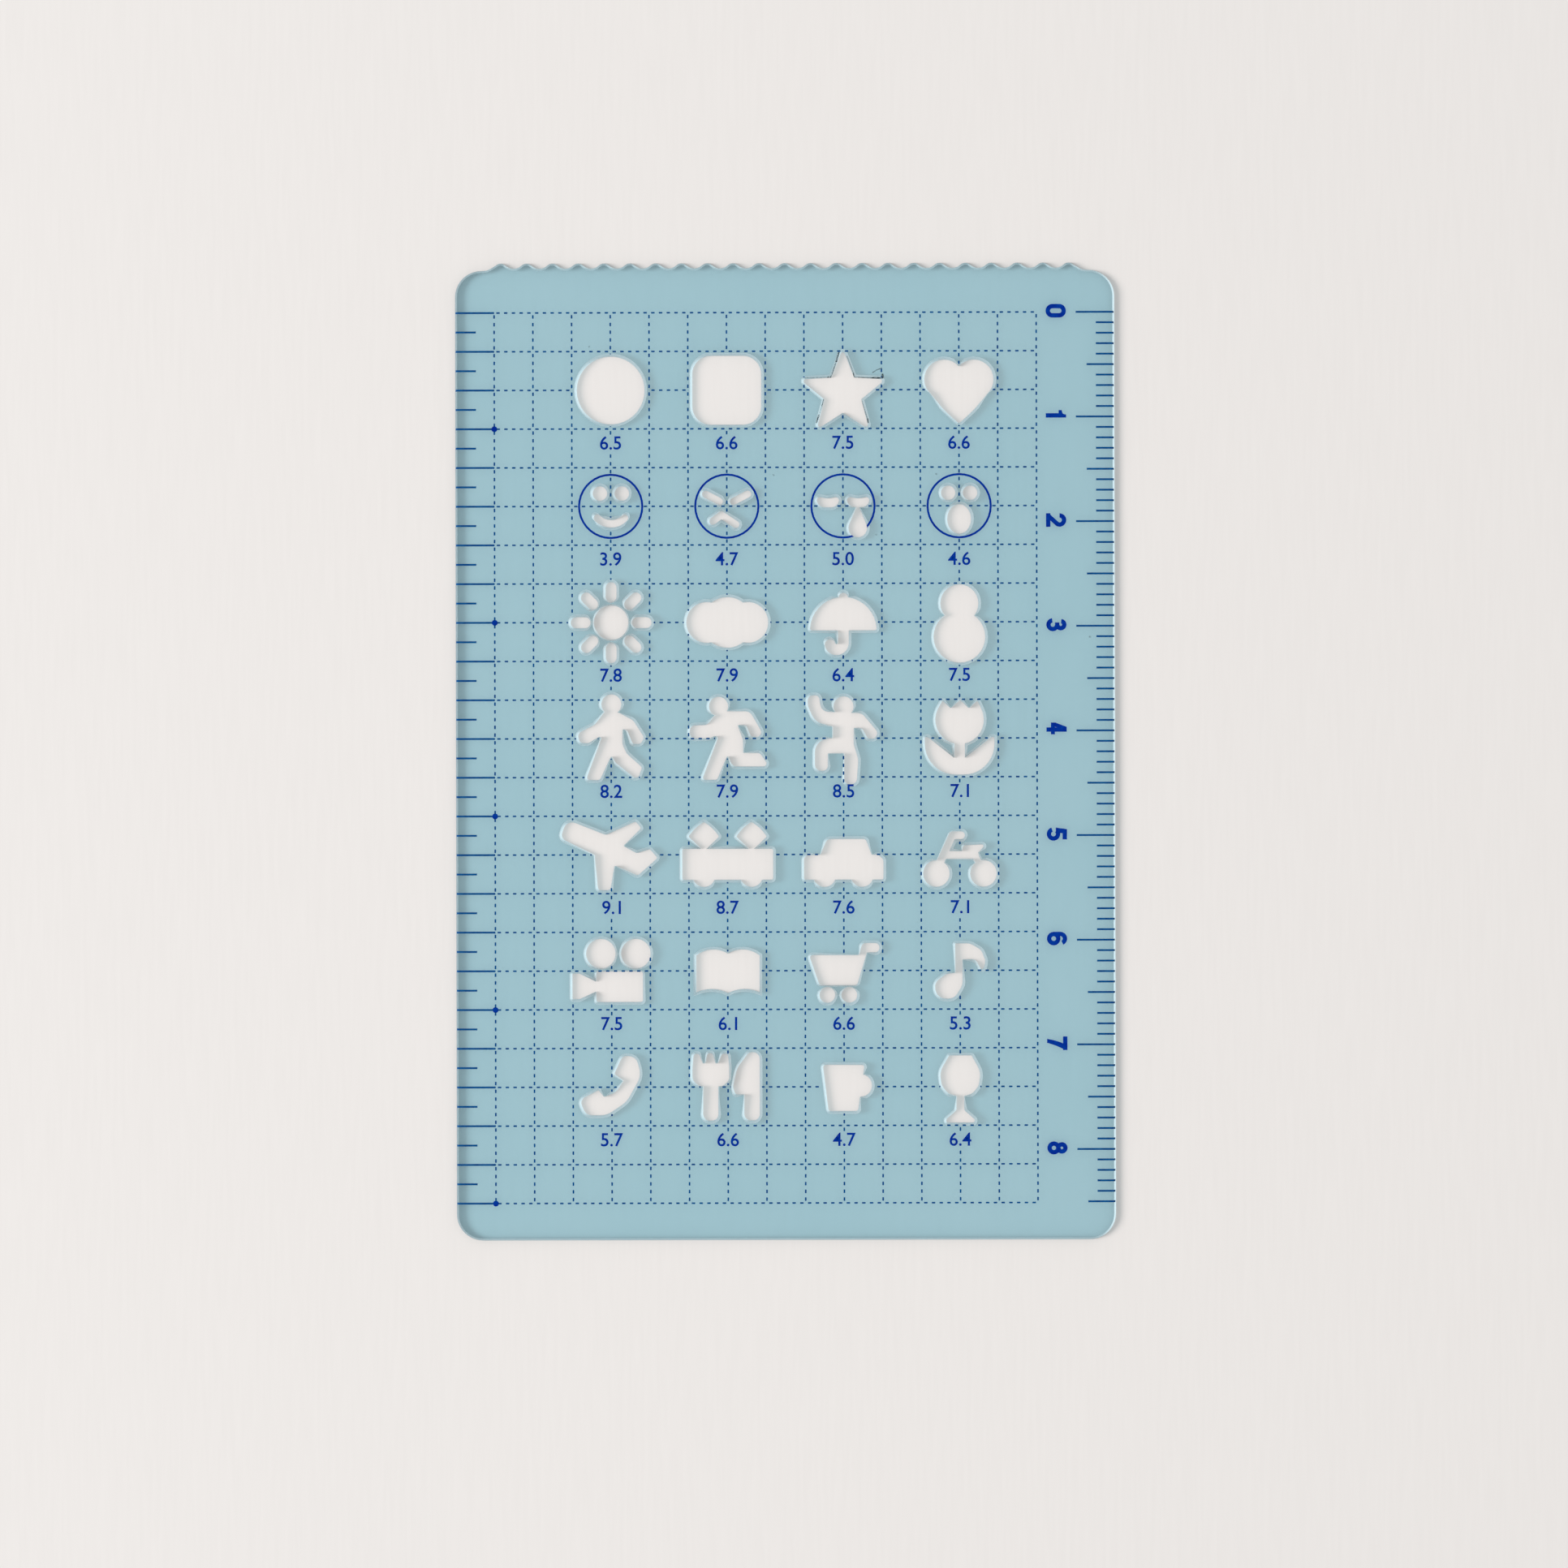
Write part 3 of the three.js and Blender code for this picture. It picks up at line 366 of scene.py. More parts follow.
@dataclass(frozen=True)
class PencilWear:
    """What tracing left on the sheet: graphite along the star's edges, and a few specks and strokes.

    Attributes:
        graphite: Colour of what the pencil left.
        on_edges: Traces along the cut edges.
        on_face: Strokes and specks on the flat face.
    """

    graphite: Colour = (0.035, 0.05, 0.06, 1.0)
    on_edges: tuple[PencilTrace, ...] = (
        PencilTrace((5.19, 38.12), (4.95, 37.3), 0.11, 1.0),
        PencilTrace((4.95, 37.3), (4.45, 35.8), 0.09, 0.8),
        PencilTrace((5.98, 37.75), (6.55, 36.25), 0.07, 0.5),
        PencilTrace((2.0, 35.72), (4.2, 35.76), 0.07, 0.4),
        PencilTrace((4.15, 35.75), (4.46, 35.75), 0.10, 0.95),
        PencilTrace((6.58, 36.15), (6.62, 35.8), 0.08, 0.9),
        PencilTrace((6.62, 35.74), (9.3, 35.69), 0.08, 0.75),
        PencilTrace((8.4, 35.71), (9.1, 35.7), 0.09, 0.95),
        PencilTrace((9.36, 36.0), (9.38, 35.72), 0.13, 1.0),
        PencilTrace((3.74, 33.66), (3.58, 33.05), 0.09, 0.8),
        PencilTrace((3.58, 33.05), (3.3, 32.2), 0.07, 0.5),
        PencilTrace((3.26, 32.1), (3.05, 31.45), 0.10, 0.95),
        PencilTrace((7.36, 33.5), (7.95, 31.65), 0.07, 0.6),
        PencilTrace((7.93, 31.75), (7.98, 31.45), 0.10, 0.9),
    )
    on_face: tuple[PencilTrace, ...] = (
        PencilTrace((8.42, 36.2), (8.8, 36.45), 0.06, 0.75),
        PencilTrace((8.8, 36.45), (9.28, 36.62), 0.06, 0.8),
        PencilTrace((29.1, 10.9), (29.14, 10.9), 0.12, 0.5),
        PencilTrace((14.45, 26.5), (14.5, 26.48), 0.1, 0.4),
        PencilTrace((8.7, 20.7), (8.74, 20.72), 0.1, 0.4),
        PencilTrace((-1.1, 26.45), (-1.06, 26.4), 0.1, 0.4),
        PencilTrace((-18.7, 38.7), (-18.66, 38.74), 0.1, 0.4),
    )

    def mark(self, nodes: Nodes, colour: NodeSocket, traces: tuple[PencilTrace, ...]) -> NodeSocket:
        """Darkens a colour where a pencil passed.

        Args:
            nodes: The material's tree.
            colour: Socket of the clean colour.
            traces: The strokes to add.

        Returns:
            The worn colour's socket.
        """
        for trace in traces:
            colour = nodes.mix(trace.place(nodes), colour, self.graphite)
        return colour


def let_light_through(nodes: Nodes, seen: NodeSocket, colour: Colour) -> None:
    """Lets lamp light and scattered light cross a clear shader straight, so that what lies under it is lit.

    Args:
        nodes: The material's tree.
        seen: Socket of the shader that the camera sees.
        colour: Colour of the light that has crossed one face.
    """
    path = nodes.node("ShaderNodeLightPath").outputs
    lit = nodes.math("MAXIMUM", path["Is Shadow Ray"], path["Is Diffuse Ray"])
    clear = nodes.add("ShaderNodeBsdfTransparent", {"Color": colour})
    both = nodes.add("ShaderNodeMixShader", {0: lit, 1: seen, 2: clear})
    nodes.fill(nodes.tree.nodes["Material Output"], {"Surface": both})


@dataclass(frozen=True)
class PlasticFinish:
    """Clear light-blue plastic with a satin face.

    Attributes:
        tint: Colour of a ray that has crossed the sheet.
        pale: Colour that the tint drifts towards.
        drift: How far it drifts.
        gloss: How the roughness drifts.
        lit_tint: Colour of lamp light that has crossed one face.
        ior: Index of refraction.
        wear: What tracing left on it.
    """

    tint: Colour = (0.625, 0.812, 0.872, 1.0)
    pale: Colour = (1.0, 1.0, 1.0, 1.0)
    drift: Mottle = Mottle(60.0, 2.0, 0.0, 0.06)
    gloss: Mottle = Mottle(900.0, 3.0, 0.05, 0.11)
    lit_tint: Colour = (0.80, 0.908, 0.942, 1.0)
    ior: float = 1.5
    wear: PencilWear = PencilWear()

    def build(self) -> Material:
        """Makes the sheet's material.

        Returns:
            The material.
        """
        material, nodes, shader = new_material("clear_blue_plastic")
        colour = nodes.mix(self.drift.place(nodes), self.tint, self.pale)
        nodes.fill(shader, {
            "Base Color": self.wear.mark(nodes, colour, self.wear.on_edges + self.wear.on_face),
            "Roughness": self.gloss.place(nodes),
            "IOR": self.ior,
            "Transmission Weight": 1.0,
        })
        let_light_through(nodes, shader.outputs[0], self.lit_tint)
        return material


@dataclass(frozen=True)
class CutEdgeFinish:
    """The paler edge of clear plastic, which glows where light comes from behind.

    Attributes:
        name: Name of the finish.
        glow: Share of the light that comes through from behind.
        lit_tint: Colour of lamp light that has crossed the edge, which bends the rest away.
        wear: What tracing left on it, if it is traced.
        pale: Colour of the smooth stretches.
        frosted: Colour of the rougher ones.
        frost: How the two drift.
        gloss: How the roughness drifts.
    """

    name: str
    glow: float
    lit_tint: Colour
    wear: PencilWear | None = None
    pale: Colour = (0.88, 0.97, 1.0, 1.0)
    frosted: Colour = (0.93, 0.98, 1.0, 1.0)
    frost: Mottle = Mottle(2200.0, 3.0)
    gloss: Mottle = Mottle(3000.0, 3.0, 0.35, 0.5)

    def build(self) -> Material:
        """Makes the edge's material.

        Returns:
            The material.
        """
        material, nodes, shader = new_material(self.name)
        colour = nodes.mix(self.frost.place(nodes), self.pale, self.frosted)
        if self.wear:
            colour = self.wear.mark(nodes, colour, self.wear.on_edges)
        nodes.fill(shader, {"Base Color": colour, "Roughness": self.gloss.place(nodes)})
        behind = nodes.add("ShaderNodeBsdfTranslucent", {"Color": colour})
        glowing = nodes.add("ShaderNodeMixShader", {0: self.glow, 1: shader.outputs[0], 2: behind})
        let_light_through(nodes, glowing, self.lit_tint)
        return material


@dataclass(frozen=True)
class SheetFinishes:
    """The finishes of the sheet's flat faces, its outer edge and the edges of its cut-outs."""

    face: PlasticFinish = PlasticFinish()
    outline: CutEdgeFinish = CutEdgeFinish("outer_edge", 0.92, (0.3, 0.34, 0.36, 1.0))
    opening: CutEdgeFinish = CutEdgeFinish("cut_out_edge", 0.85, (0.6, 0.63, 0.64, 1.0), PencilWear())


@dataclass(frozen=True)
class PaperFinish:
    """Plain pale paper for the floor, with faint upright streaks.

    Attributes:
        pale: Colour of the light streaks.
        dull: Colour of the dark ones.
        streaks: How the two drift.
        roughness: Roughness of the paper.
        sheen: Specular level.
    """

    pale: Colour = linear(240, 236, 233)
    dull: Colour = linear(238, 234, 231)
    streaks: Mottle = Mottle(2500.0, 3.0, stretch=(1.0, 0.06, 1.0))
    roughness: float = 0.9
    sheen: float = 0.2

    def build(self) -> Material:
        """Makes the floor's material.

        Returns:
            The material.
        """
        material, nodes, shader = new_material("pale_paper")
        nodes.fill(shader, {
            "Base Color": nodes.mix(self.streaks.place(nodes), self.pale, self.dull),
            "Roughness": self.roughness,
            "Specular IOR Level": self.sheen,
        })
        return material


# The sheet


def stretches(loops: list[np.ndarray]) -> tuple[np.ndarray, np.ndarray]:
    """Gives the start and the end of each straight stretch of closed edges."""
    return np.concatenate(loops), np.concatenate([np.roll(loop, -1, axis=0) for loop in loops])


def lies_on_plastic(points: np.ndarray, loops: list[np.ndarray]) -> np.ndarray:
    """Tells which points lie between closed edges, by counting the edges to their right.

    Args:
        points: Points to test.
        loops: Points of each closed edge.

    Returns:
        True for each point on plastic.
    """
    starts, ends = stretches(loops)
    runs = ends - starts
    x, y = points[:, None, 0], points[:, None, 1]
    share = (y - starts[:, 1]) / np.where(runs[:, 1] == 0.0, NEXT_TO_NOTHING, runs[:, 1])
    crossed = (starts[:, 1] > y) != (ends[:, 1] > y)
    return (crossed & (starts[:, 0] + share * runs[:, 0] > x)).sum(axis=1) % 2 == 1


class SheetEdges:
    """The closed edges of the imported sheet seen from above, each with the plastic on its left.

    Attributes:
        FLAT: Upward share of a normal from which a face is flat.
        NEAREST: Distance from which a point sees another edge.
    """

    FLAT = 0.99
    NEAREST = 1e-6

    def __init__(self, node: str) -> None:
        """Reads the edges of a CAD node's top face.

        Args:
            node: Name of the CAD node.
        """
        lowest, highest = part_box(node)
        self.bottom, self.top = lowest.z, highest.z
        self.loops = self._loops(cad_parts[node].data)
        self.starts, self.ends = stretches(self.loops)

    def _loops(self, mesh: Mesh) -> list[np.ndarray]:
        """Follows the border of the top face round each opening.

        Args:
            mesh: The node's mesh, which is left as it is.

        Returns:
            One array of points for each closed edge.
        """
        welded = bmesh.new()
        welded.from_mesh(mesh)
        bmesh.ops.remove_doubles(welded, verts=welded.verts, dist=WELD)
        following = {}
        for face in welded.faces:
            if face.normal.z < self.FLAT:
                continue
            for corner in face.loops:
                if any(abs(other.normal.z) < self.FLAT for other in corner.edge.link_faces):
                    following[corner.vert] = corner.link_loop_next.vert
        loops = []
        while following:
            vert, after = following.popitem()
            points = [vert.co.xy[:]]
            while after in following:
                points.append(after.co.xy[:])
                after = following.pop(after)
            loops.append(np.array(points))
        welded.free()
        return loops

    def reach(self, points: np.ndarray, ways: np.ndarray) -> np.ndarray:
        """Measures how far each point sees through the plastic.

        Args:
            points: Points on the edges.
            ways: A unit direction for each point.

        Returns:
            Distance from each point to the next edge that way.
        """
        runs = self.ends - self.starts
        gap_x = self.starts[:, 0] - points[:, None, 0]
        gap_y = self.starts[:, 1] - points[:, None, 1]
        way_x, way_y = ways[:, None, 0], ways[:, None, 1]
        cross = way_x * runs[:, 1] - way_y * runs[:, 0]
        cross = np.where(np.abs(cross) < NEXT_TO_NOTHING, NEXT_TO_NOTHING, cross)
        far = (gap_x * runs[:, 1] - gap_y * runs[:, 0]) / cross
        share = (gap_x * way_y - gap_y * way_x) / cross
        met = (far > self.NEAREST) & (share >= 0.0) & (share <= 1.0)
        return np.where(met, far, np.inf).min(axis=1)

    def spans(self, line: Line, level: float) -> list[tuple[float, float]]:
        """Finds the stretches of a straight line that lie on plastic.

        Args:
            line: The way the line runs.
            level: Its place on the other axis.

        Returns:
            Start and end of each stretch, in order.
        """
        run, side = (0, 1) if line is Line.ACROSS else (1, 0)
        first, last = self.starts[:, side], self.ends[:, side]
        crossing = (first > level) != (last > level)
        share = (level - first[crossing]) / (last - first)[crossing]
        places = np.sort(self.starts[crossing, run] + share * (self.ends - self.starts)[crossing, run])
        return [(float(a), float(b)) for a, b in zip(places[::2], places[1::2])]

    def outline(self) -> np.ndarray:
        """Gives the outer edge, which reaches furthest."""
        return max(self.loops, key=lambda loop: np.ptp(loop, axis=0).max())

    def openings(self) -> list[np.ndarray]:
        """Gives every edge but the outline."""
        return [loop for loop in self.loops if loop is not self.outline()]


@dataclass(frozen=True)
class EdgeShape:
    """How a cut edge is shaped, in metres.

    Attributes:
        rim: Reach of the bevelled upper rim into the plastic.
        depth: How far down that rim goes.
        bow: Power of its curve, 1 for a straight bevel.
    """

    rim: float
    depth: float
    bow: float

    def drop(self, share: float) -> float:
        """Tells how far the rim lies below the face at a share of its way in from the edge."""
        return self.depth * (1 - share) ** self.bow


def place_piece(name: str, mesh: Mesh, slot: Slot, *nodes: str) -> Object:
    """Puts a finished mesh on the object.

    Args:
        name: Name of the piece.
        mesh: Its mesh, in place.
        slot: The record's material slot; here it only decides whether the piece casts shadows.
        nodes: CAD nodes that the piece stands for.

    Returns:
        The piece.
    """
    piece = add_object(name, mesh)
    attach(piece, BODY)
    if nodes:
        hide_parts(*nodes)
    piece.visible_shadow = slot is not Slot.INK
    LOG.info("%s: %d faces", name, len(mesh.polygons))
    return piece


@dataclass
class Sheet:
    """The clear sheet with rounded rims round its outline and cut-outs.

    Attributes:
        edges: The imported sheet's edges.
        outline: Shape of the outer edge.
        opening: Shape of the cut-outs' edges.
        lower_share: Size of the lower rim as a share of the upper one.
        upper_steps: Facets of the upper rim.
        lower_steps: Facets of the lower rim.
        web_share: Most of a narrow web that one edge may take.
        bend_share: Most of a stretch that rims may take where they close in at its ends.
        least_bend: Least closing-in that counts.
        ease: Most that a rim's reach may change along its edge, as a slope.
        settled: Change of a reach that no longer counts.
        sharpest: Least cosine of half a corner's turn, which keeps its point from running far in.
        looks: Directions in which a point looks for the next edge.
        widest_look: Angle of the outermost of them.
    """

    edges: SheetEdges
    outline: EdgeShape = EdgeShape(0.2 * MM, 0.42 * MM, 1.5)
    opening: EdgeShape = EdgeShape(0.26 * MM, 0.42 * MM, 1.4)
    lower_share: float = 0.15
    upper_steps: int = 5
    lower_steps: int = 2
    web_share: float = 0.42
    bend_share: float = 0.8
    least_bend: float = 1e-6
    ease: float = 0.5
    settled: float = 1e-9
    sharpest: float = 0.62
    looks: int = 7
    widest_look: float = 0.9

    def _inward(self, loop: np.ndarray) -> tuple[np.ndarray, np.ndarray, np.ndarray]:
        """Gives each point's direction into the plastic.

        Args:
            loop: Points of a closed edge.

        Returns:
            Unit directions, the lengthening at corners, and the left turn at each point.
        """
        runs = np.roll(loop, -1, axis=0) - loop
        runs /= np.linalg.norm(runs, axis=1)[:, None]
        after = np.stack([-runs[:, 1], runs[:, 0]], axis=1)
        before = np.roll(after, 1, axis=0)
        ways = before + after
        ways /= np.linalg.norm(ways, axis=1)[:, None]
        stretch = 1.0 / np.clip((ways * after).sum(axis=1), self.sharpest, 1.0)
        cross = before[:, 0] * after[:, 1] - before[:, 1] * after[:, 0]
        return ways, stretch, np.arctan2(cross, (before * after).sum(axis=1))

    def _room(self, loop: np.ndarray, most: float) -> np.ndarray:
        """Chooses how far a rim may reach at each point, less by narrow webs and tight corners.

        Args:
            loop: Points of a closed edge.
            most: The reach where there is room.

        Returns:
            The reach at each point.
        """
        ways, _, turn = self._inward(loop)
        sizes = np.full(len(loop), most)
        for lean in np.linspace(-self.widest_look, self.widest_look, self.looks):
            turned = np.stack([
                ways[:, 0] * math.cos(lean) - ways[:, 1] * math.sin(lean),
                ways[:, 0] * math.sin(lean) + ways[:, 1] * math.cos(lean),
            ], axis=1)
            sizes = np.minimum(sizes, self.web_share * self.edges.reach(loop, turned) * math.cos(lean))
        lengths = np.linalg.norm(np.roll(loop, -1, axis=0) - loop, axis=1)
        bend = np.tan(np.maximum(turn, 0.0) / 2)
        closing = np.maximum(bend + np.roll(bend, -1), self.least_bend)
        edge_room = self.bend_share * lengths / closing
        sizes = np.minimum(sizes, np.minimum(edge_room, np.roll(edge_room, 1)))
        for _ in range(len(loop)):
            ahead = np.roll(sizes, -1) + self.ease * lengths
            behind = np.roll(sizes + self.ease * lengths, 1)
            eased = np.minimum(sizes, np.minimum(ahead, behind))
            if np.allclose(eased, sizes, atol=self.settled):
                break
            sizes = eased
        return sizes

    def _rings(self, loop: np.ndarray, shape: EdgeShape) -> list[np.ndarray]:
        """Sweeps a closed edge through the profile of its rims.

        Args:
            loop: Points of a closed edge.
            shape: The edge's shape.

        Returns:
            Rings of points from the lower face to the upper one.
        """
        ways, stretch, _ = self._inward(loop)
        rims = self._room(loop, shape.rim)
        rings = []
        for step in range(self.lower_steps + 1):
            angle = math.pi / 2 * (1 - step / self.lower_steps)
            reach = rims * self.lower_share * (1 - math.cos(angle))
            height = self.edges.bottom + rims * self.lower_share * (1 - math.sin(angle))
            rings.append((reach, height))
        for step in range(self.upper_steps + 1):
            share = step / self.upper_steps
            rings.append((rims * share, self.edges.top - rims * shape.drop(share) / shape.rim))
        return [np.column_stack([loop + ways * (stretch * r)[:, None], h]) for r, h in rings]

    def _cap(self, rings: list[np.ndarray], index: list[int]) -> list[tuple[int, ...]]:
        """Fills the flat between closed edges with triangles.

        Args:
            rings: The rings that bound the flat.
            index: Index of each of their points in the mesh.

        Returns:
            Triangles by the index of their points.
        """
        loops = [ring[:, :2] for ring in rings]
        sides, first = [], 0
        for count in map(len, loops):
            sides += [(first + i, first + (i + 1) % count) for i in range(count)]
            first += count
        filled = delaunay_2d_cdt([tuple(p / MM) for p in np.concatenate(loops)], sides, [], 1, WELD)
        verts, triangles, origins = filled[0], filled[2], filled[3]
        flat = np.array([v[:] for v in verts]) * MM
        corners = np.array([list(t) for t in triangles])
        on_plastic = lies_on_plastic(flat[corners].mean(axis=1), loops)
        return [tuple(index[origins[i][0]] for i in t) for t, keep in zip(corners, on_plastic) if keep]

    def build(self, finishes: SheetFinishes) -> Object:
        """Makes the sheet and sets it in the CAD sheet's place.

        Args:
            finishes: The finishes of its faces and edges.

        Returns:
            The finished piece.
        """
        verts, faces, dress, sweeps = [], [], [], []
        outer = self.edges.outline()
        for loop in self.edges.loops:
            rings = self._rings(loop, self.outline if loop is outer else self.opening)
            index = len(verts) + np.arange(len(rings) * len(loop)).reshape(len(rings), len(loop))
            verts += [tuple(point) for ring in rings for point in ring]
            for low, high in zip(index, index[1:]):
                faces += np.stack([low, np.roll(low, -1), np.roll(high, -1), high], axis=1).tolist()
                dress += [1 if loop is outer else 2] * len(loop)
            sweeps.append((rings, index))
        for level, way in ((-1, 1), (0, -1)):
            index = np.concatenate([index[level] for _, index in sweeps]).tolist()
            flat = self._cap([rings[level] for rings, _ in sweeps], index)
            faces += [triangle[::way] for triangle in flat]
            dress += [0] * len(flat)
        mesh = bpy.data.meshes.new("clear_sheet")
        mesh.from_pydata(verts, [], faces)
        for finish in (finishes.face, finishes.outline, finishes.opening):
            mesh.materials.append(finish.build())
        mesh.polygons.foreach_set("use_smooth", [number > 0 for number in dress])
        mesh.polygons.foreach_set("material_index", dress)
        mesh.validate()
        return place_piece("clear_sheet", mesh, Slot.PLASTIC, SHEET_NODE)


# The print


@dataclass(frozen=True)
class Mark:
    """One straight printed mark: its middle, its length and the way it runs, in metres."""

    x: float
    y: float
    length: float
    line: Line


@dataclass(frozen=True)
class MarkSizes:
    """Sizes of one printed mark, in metres, and the steps of its round corners."""

    length: float
    width: float = 0.185 * MM
    film: float = INK_FILM
    corner: float = 0.04 * MM
    corner_steps: int = 1


class MarkStamp:
    """A Geometry Nodes tree that lays a rounded film of ink on every point.

    Attributes:
        NAME: Name of the tree.
        SIZES: Short socket type of each of its inputs for a mark's sizes.
    """

    NAME = "ink_marks"
    SIZES = {**dict.fromkeys(("Length", "Width", "Film", "Corner"), "Float"), "Corner Steps": "Int"}

    def __init__(self) -> None:
        """Builds the tree, with named inputs for the mark's sizes."""
        inputs = {"Geometry": "Geometry", **self.SIZES, "Material": "Material"}
        group = Group(self.NAME, "GeometryNodeTree", inputs, ("Geometry", "Geometry"))
        source = group.sources
        face = self._outline(group)
        raised = group.add("GeometryNodeExtrudeMesh", {
            "Mesh": face,
            "Offset": group.add("FunctionNodeInputVector", vector=(0.0, 0.0, 1.0)),
            "Offset Scale": source["Film"],
            "Individual": False,
        }, mode="FACES")
        both = group.node("GeometryNodeJoinGeometry", {0: group.add("GeometryNodeFlipFaces", {0: face})})
        group.fill(both, {0: raised})
        shape = group.add("GeometryNodeMergeByDistance", {0: both.outputs[0], "Distance": WELD})
        turn, span = [
            group.add("GeometryNodeInputNamedAttribute", {"Name": name}, data_type="FLOAT")
            for name in ("turn", "span")
        ]
        angle = group.add("ShaderNodeCombineXYZ", {"Z": turn})
        stretch = group.math("DIVIDE", span, source["Length"])
        laid = group.add("GeometryNodeInstanceOnPoints", {
            "Points": source["Geometry"],
            "Instance": shape,
            "Rotation": group.add("FunctionNodeEulerToRotation", {0: angle}),
            "Scale": group.add("ShaderNodeCombineXYZ", {"X": stretch, "Y": 1.0, "Z": 1.0}),
        })
        real = group.add("GeometryNodeRealizeInstances", {0: laid})
        inked = group.add("GeometryNodeSetMaterial", {"Geometry": real, "Material": source["Material"]})
        self.tree = group.finish(inked)

    def _outline(self, group: Group) -> NodeSocket:
        """Draws the underside of one mark.

        Args:
            group: The stamp's tree.

        Returns:
            Socket of the drawn face.
        """
        source = group.sources
        sides = {"Width": source["Length"], "Height": source["Width"]}
        corner = group.add("GeometryNodeFilletCurve", {
            "Curve": group.add("GeometryNodeCurvePrimitiveQuadrilateral", sides),
            "Radius": source["Corner"],
            "Count": source["Corner Steps"],
            "Limit Radius": True,
        }, mode="POLY")
        return group.add("GeometryNodeFillCurve", {0: corner}, mode="NGONS")

    def lay(
        self, name: str, ink: Material, marks: list[Mark], values: Inputs, height: float, *nodes: str
    ) -> Object:
        """Lays one piece of repeated marks.

        Args:
            name: Name of the piece.
            ink: Its material.
            marks: Where each mark lies.
            values: Sizes of a whole mark, by the names of the tree's inputs.
            height: Level of the printed face.
            nodes: CAD nodes that the piece stands for.

        Returns:
            The finished piece.
        """
        points = bpy.data.meshes.new(name + "_points")
        points.from_pydata([(mark.x, mark.y, height) for mark in marks], [], [])
        columns = {"span": [mark.length for mark in marks], "turn": [mark.line.value for mark in marks]}
        for title, numbers in columns.items():
            points.attributes.new(title, "FLOAT", "POINT").data.foreach_set("value", numbers)
        carrier = add_object(name + "_points", points)
        modifier = carrier.modifiers.new(self.NAME, "NODES")
        modifier.node_group = self.tree
        values = {**values, "Material": ink}
        for item in self.tree.interface.items_tree:
            if item.item_type == "SOCKET" and item.in_out == "INPUT" and item.name in values:
                modifier[item.identifier] = values[item.name]
        shown = carrier.evaluated_get(bpy.context.evaluated_depsgraph_get())
        mesh = bpy.data.meshes.new_from_object(shown)
        mesh.name = name
        carrier.modifiers.remove(modifier)
        bpy.data.objects.remove(carrier)
        bpy.data.meshes.remove(points)
        return place_piece(name, mesh, Slot.INK, *nodes)


class RimStamp(MarkStamp):
    """A stamp for marks that run in from the sheet's edge and follow its round rim."""

    NAME = "rim_marks"
    SIZES = dict.fromkeys(("Length", "Width", "Film", "Rim", "Depth", "Bow"), "Float")

    def __init__(self, steps: int) -> None:
        """Builds the tree for a rim of so many facets, of which the ink leaves the outermost bare."""
        self.steps = steps
        super().__init__()

    def _outline(self, group: Group) -> NodeSocket:
        """Draws the underside of one mark, with a fold at each facet of the rim.

        Args:
            group: The stamp's tree.

        Returns:
            Socket of the drawn face.
        """
        source = group.sources
        strip = group.add("GeometryNodeMeshGrid", {
            "Size X": source["Length"],
            "Size Y": source["Width"],
            "Vertices X": self.steps + 1,
            "Vertices Y": 2,
        })
        spot = group.add("GeometryNodeInputPosition")
        place = group.node("ShaderNodeSeparateXYZ", {0: spot}).outputs
        # The strip's points become shares of the rim, from one facet in. The last is the mark's inner end.
        along = group.math("DIVIDE", place["X"], source["Length"])
        fold = group.math("ADD", along, 0.5 + 1 / self.steps)
        share = group.math("MINIMUM", fold, 1.0)
        past = group.math("GREATER_THAN", fold, 1 + 0.5 / self.steps)
        flat = group.math("SUBTRACT", source["Length"], source["Rim"])
        reach = group.math("MULTIPLY", share, source["Rim"])
        curve = group.math("POWER", group.math("SUBTRACT", 1.0, share), source["Bow"])
        drop = group.math("MULTIPLY", curve, source["Depth"])
        folded = group.add("ShaderNodeCombineXYZ", {
            "X": group.math("ADD", reach, group.math("MULTIPLY", past, flat)),
            "Y": place["Y"],
            "Z": group.math("MULTIPLY", drop, -1.0),
        })
        return group.add("GeometryNodeSetPosition", {"Geometry": strip, "Position": folded})


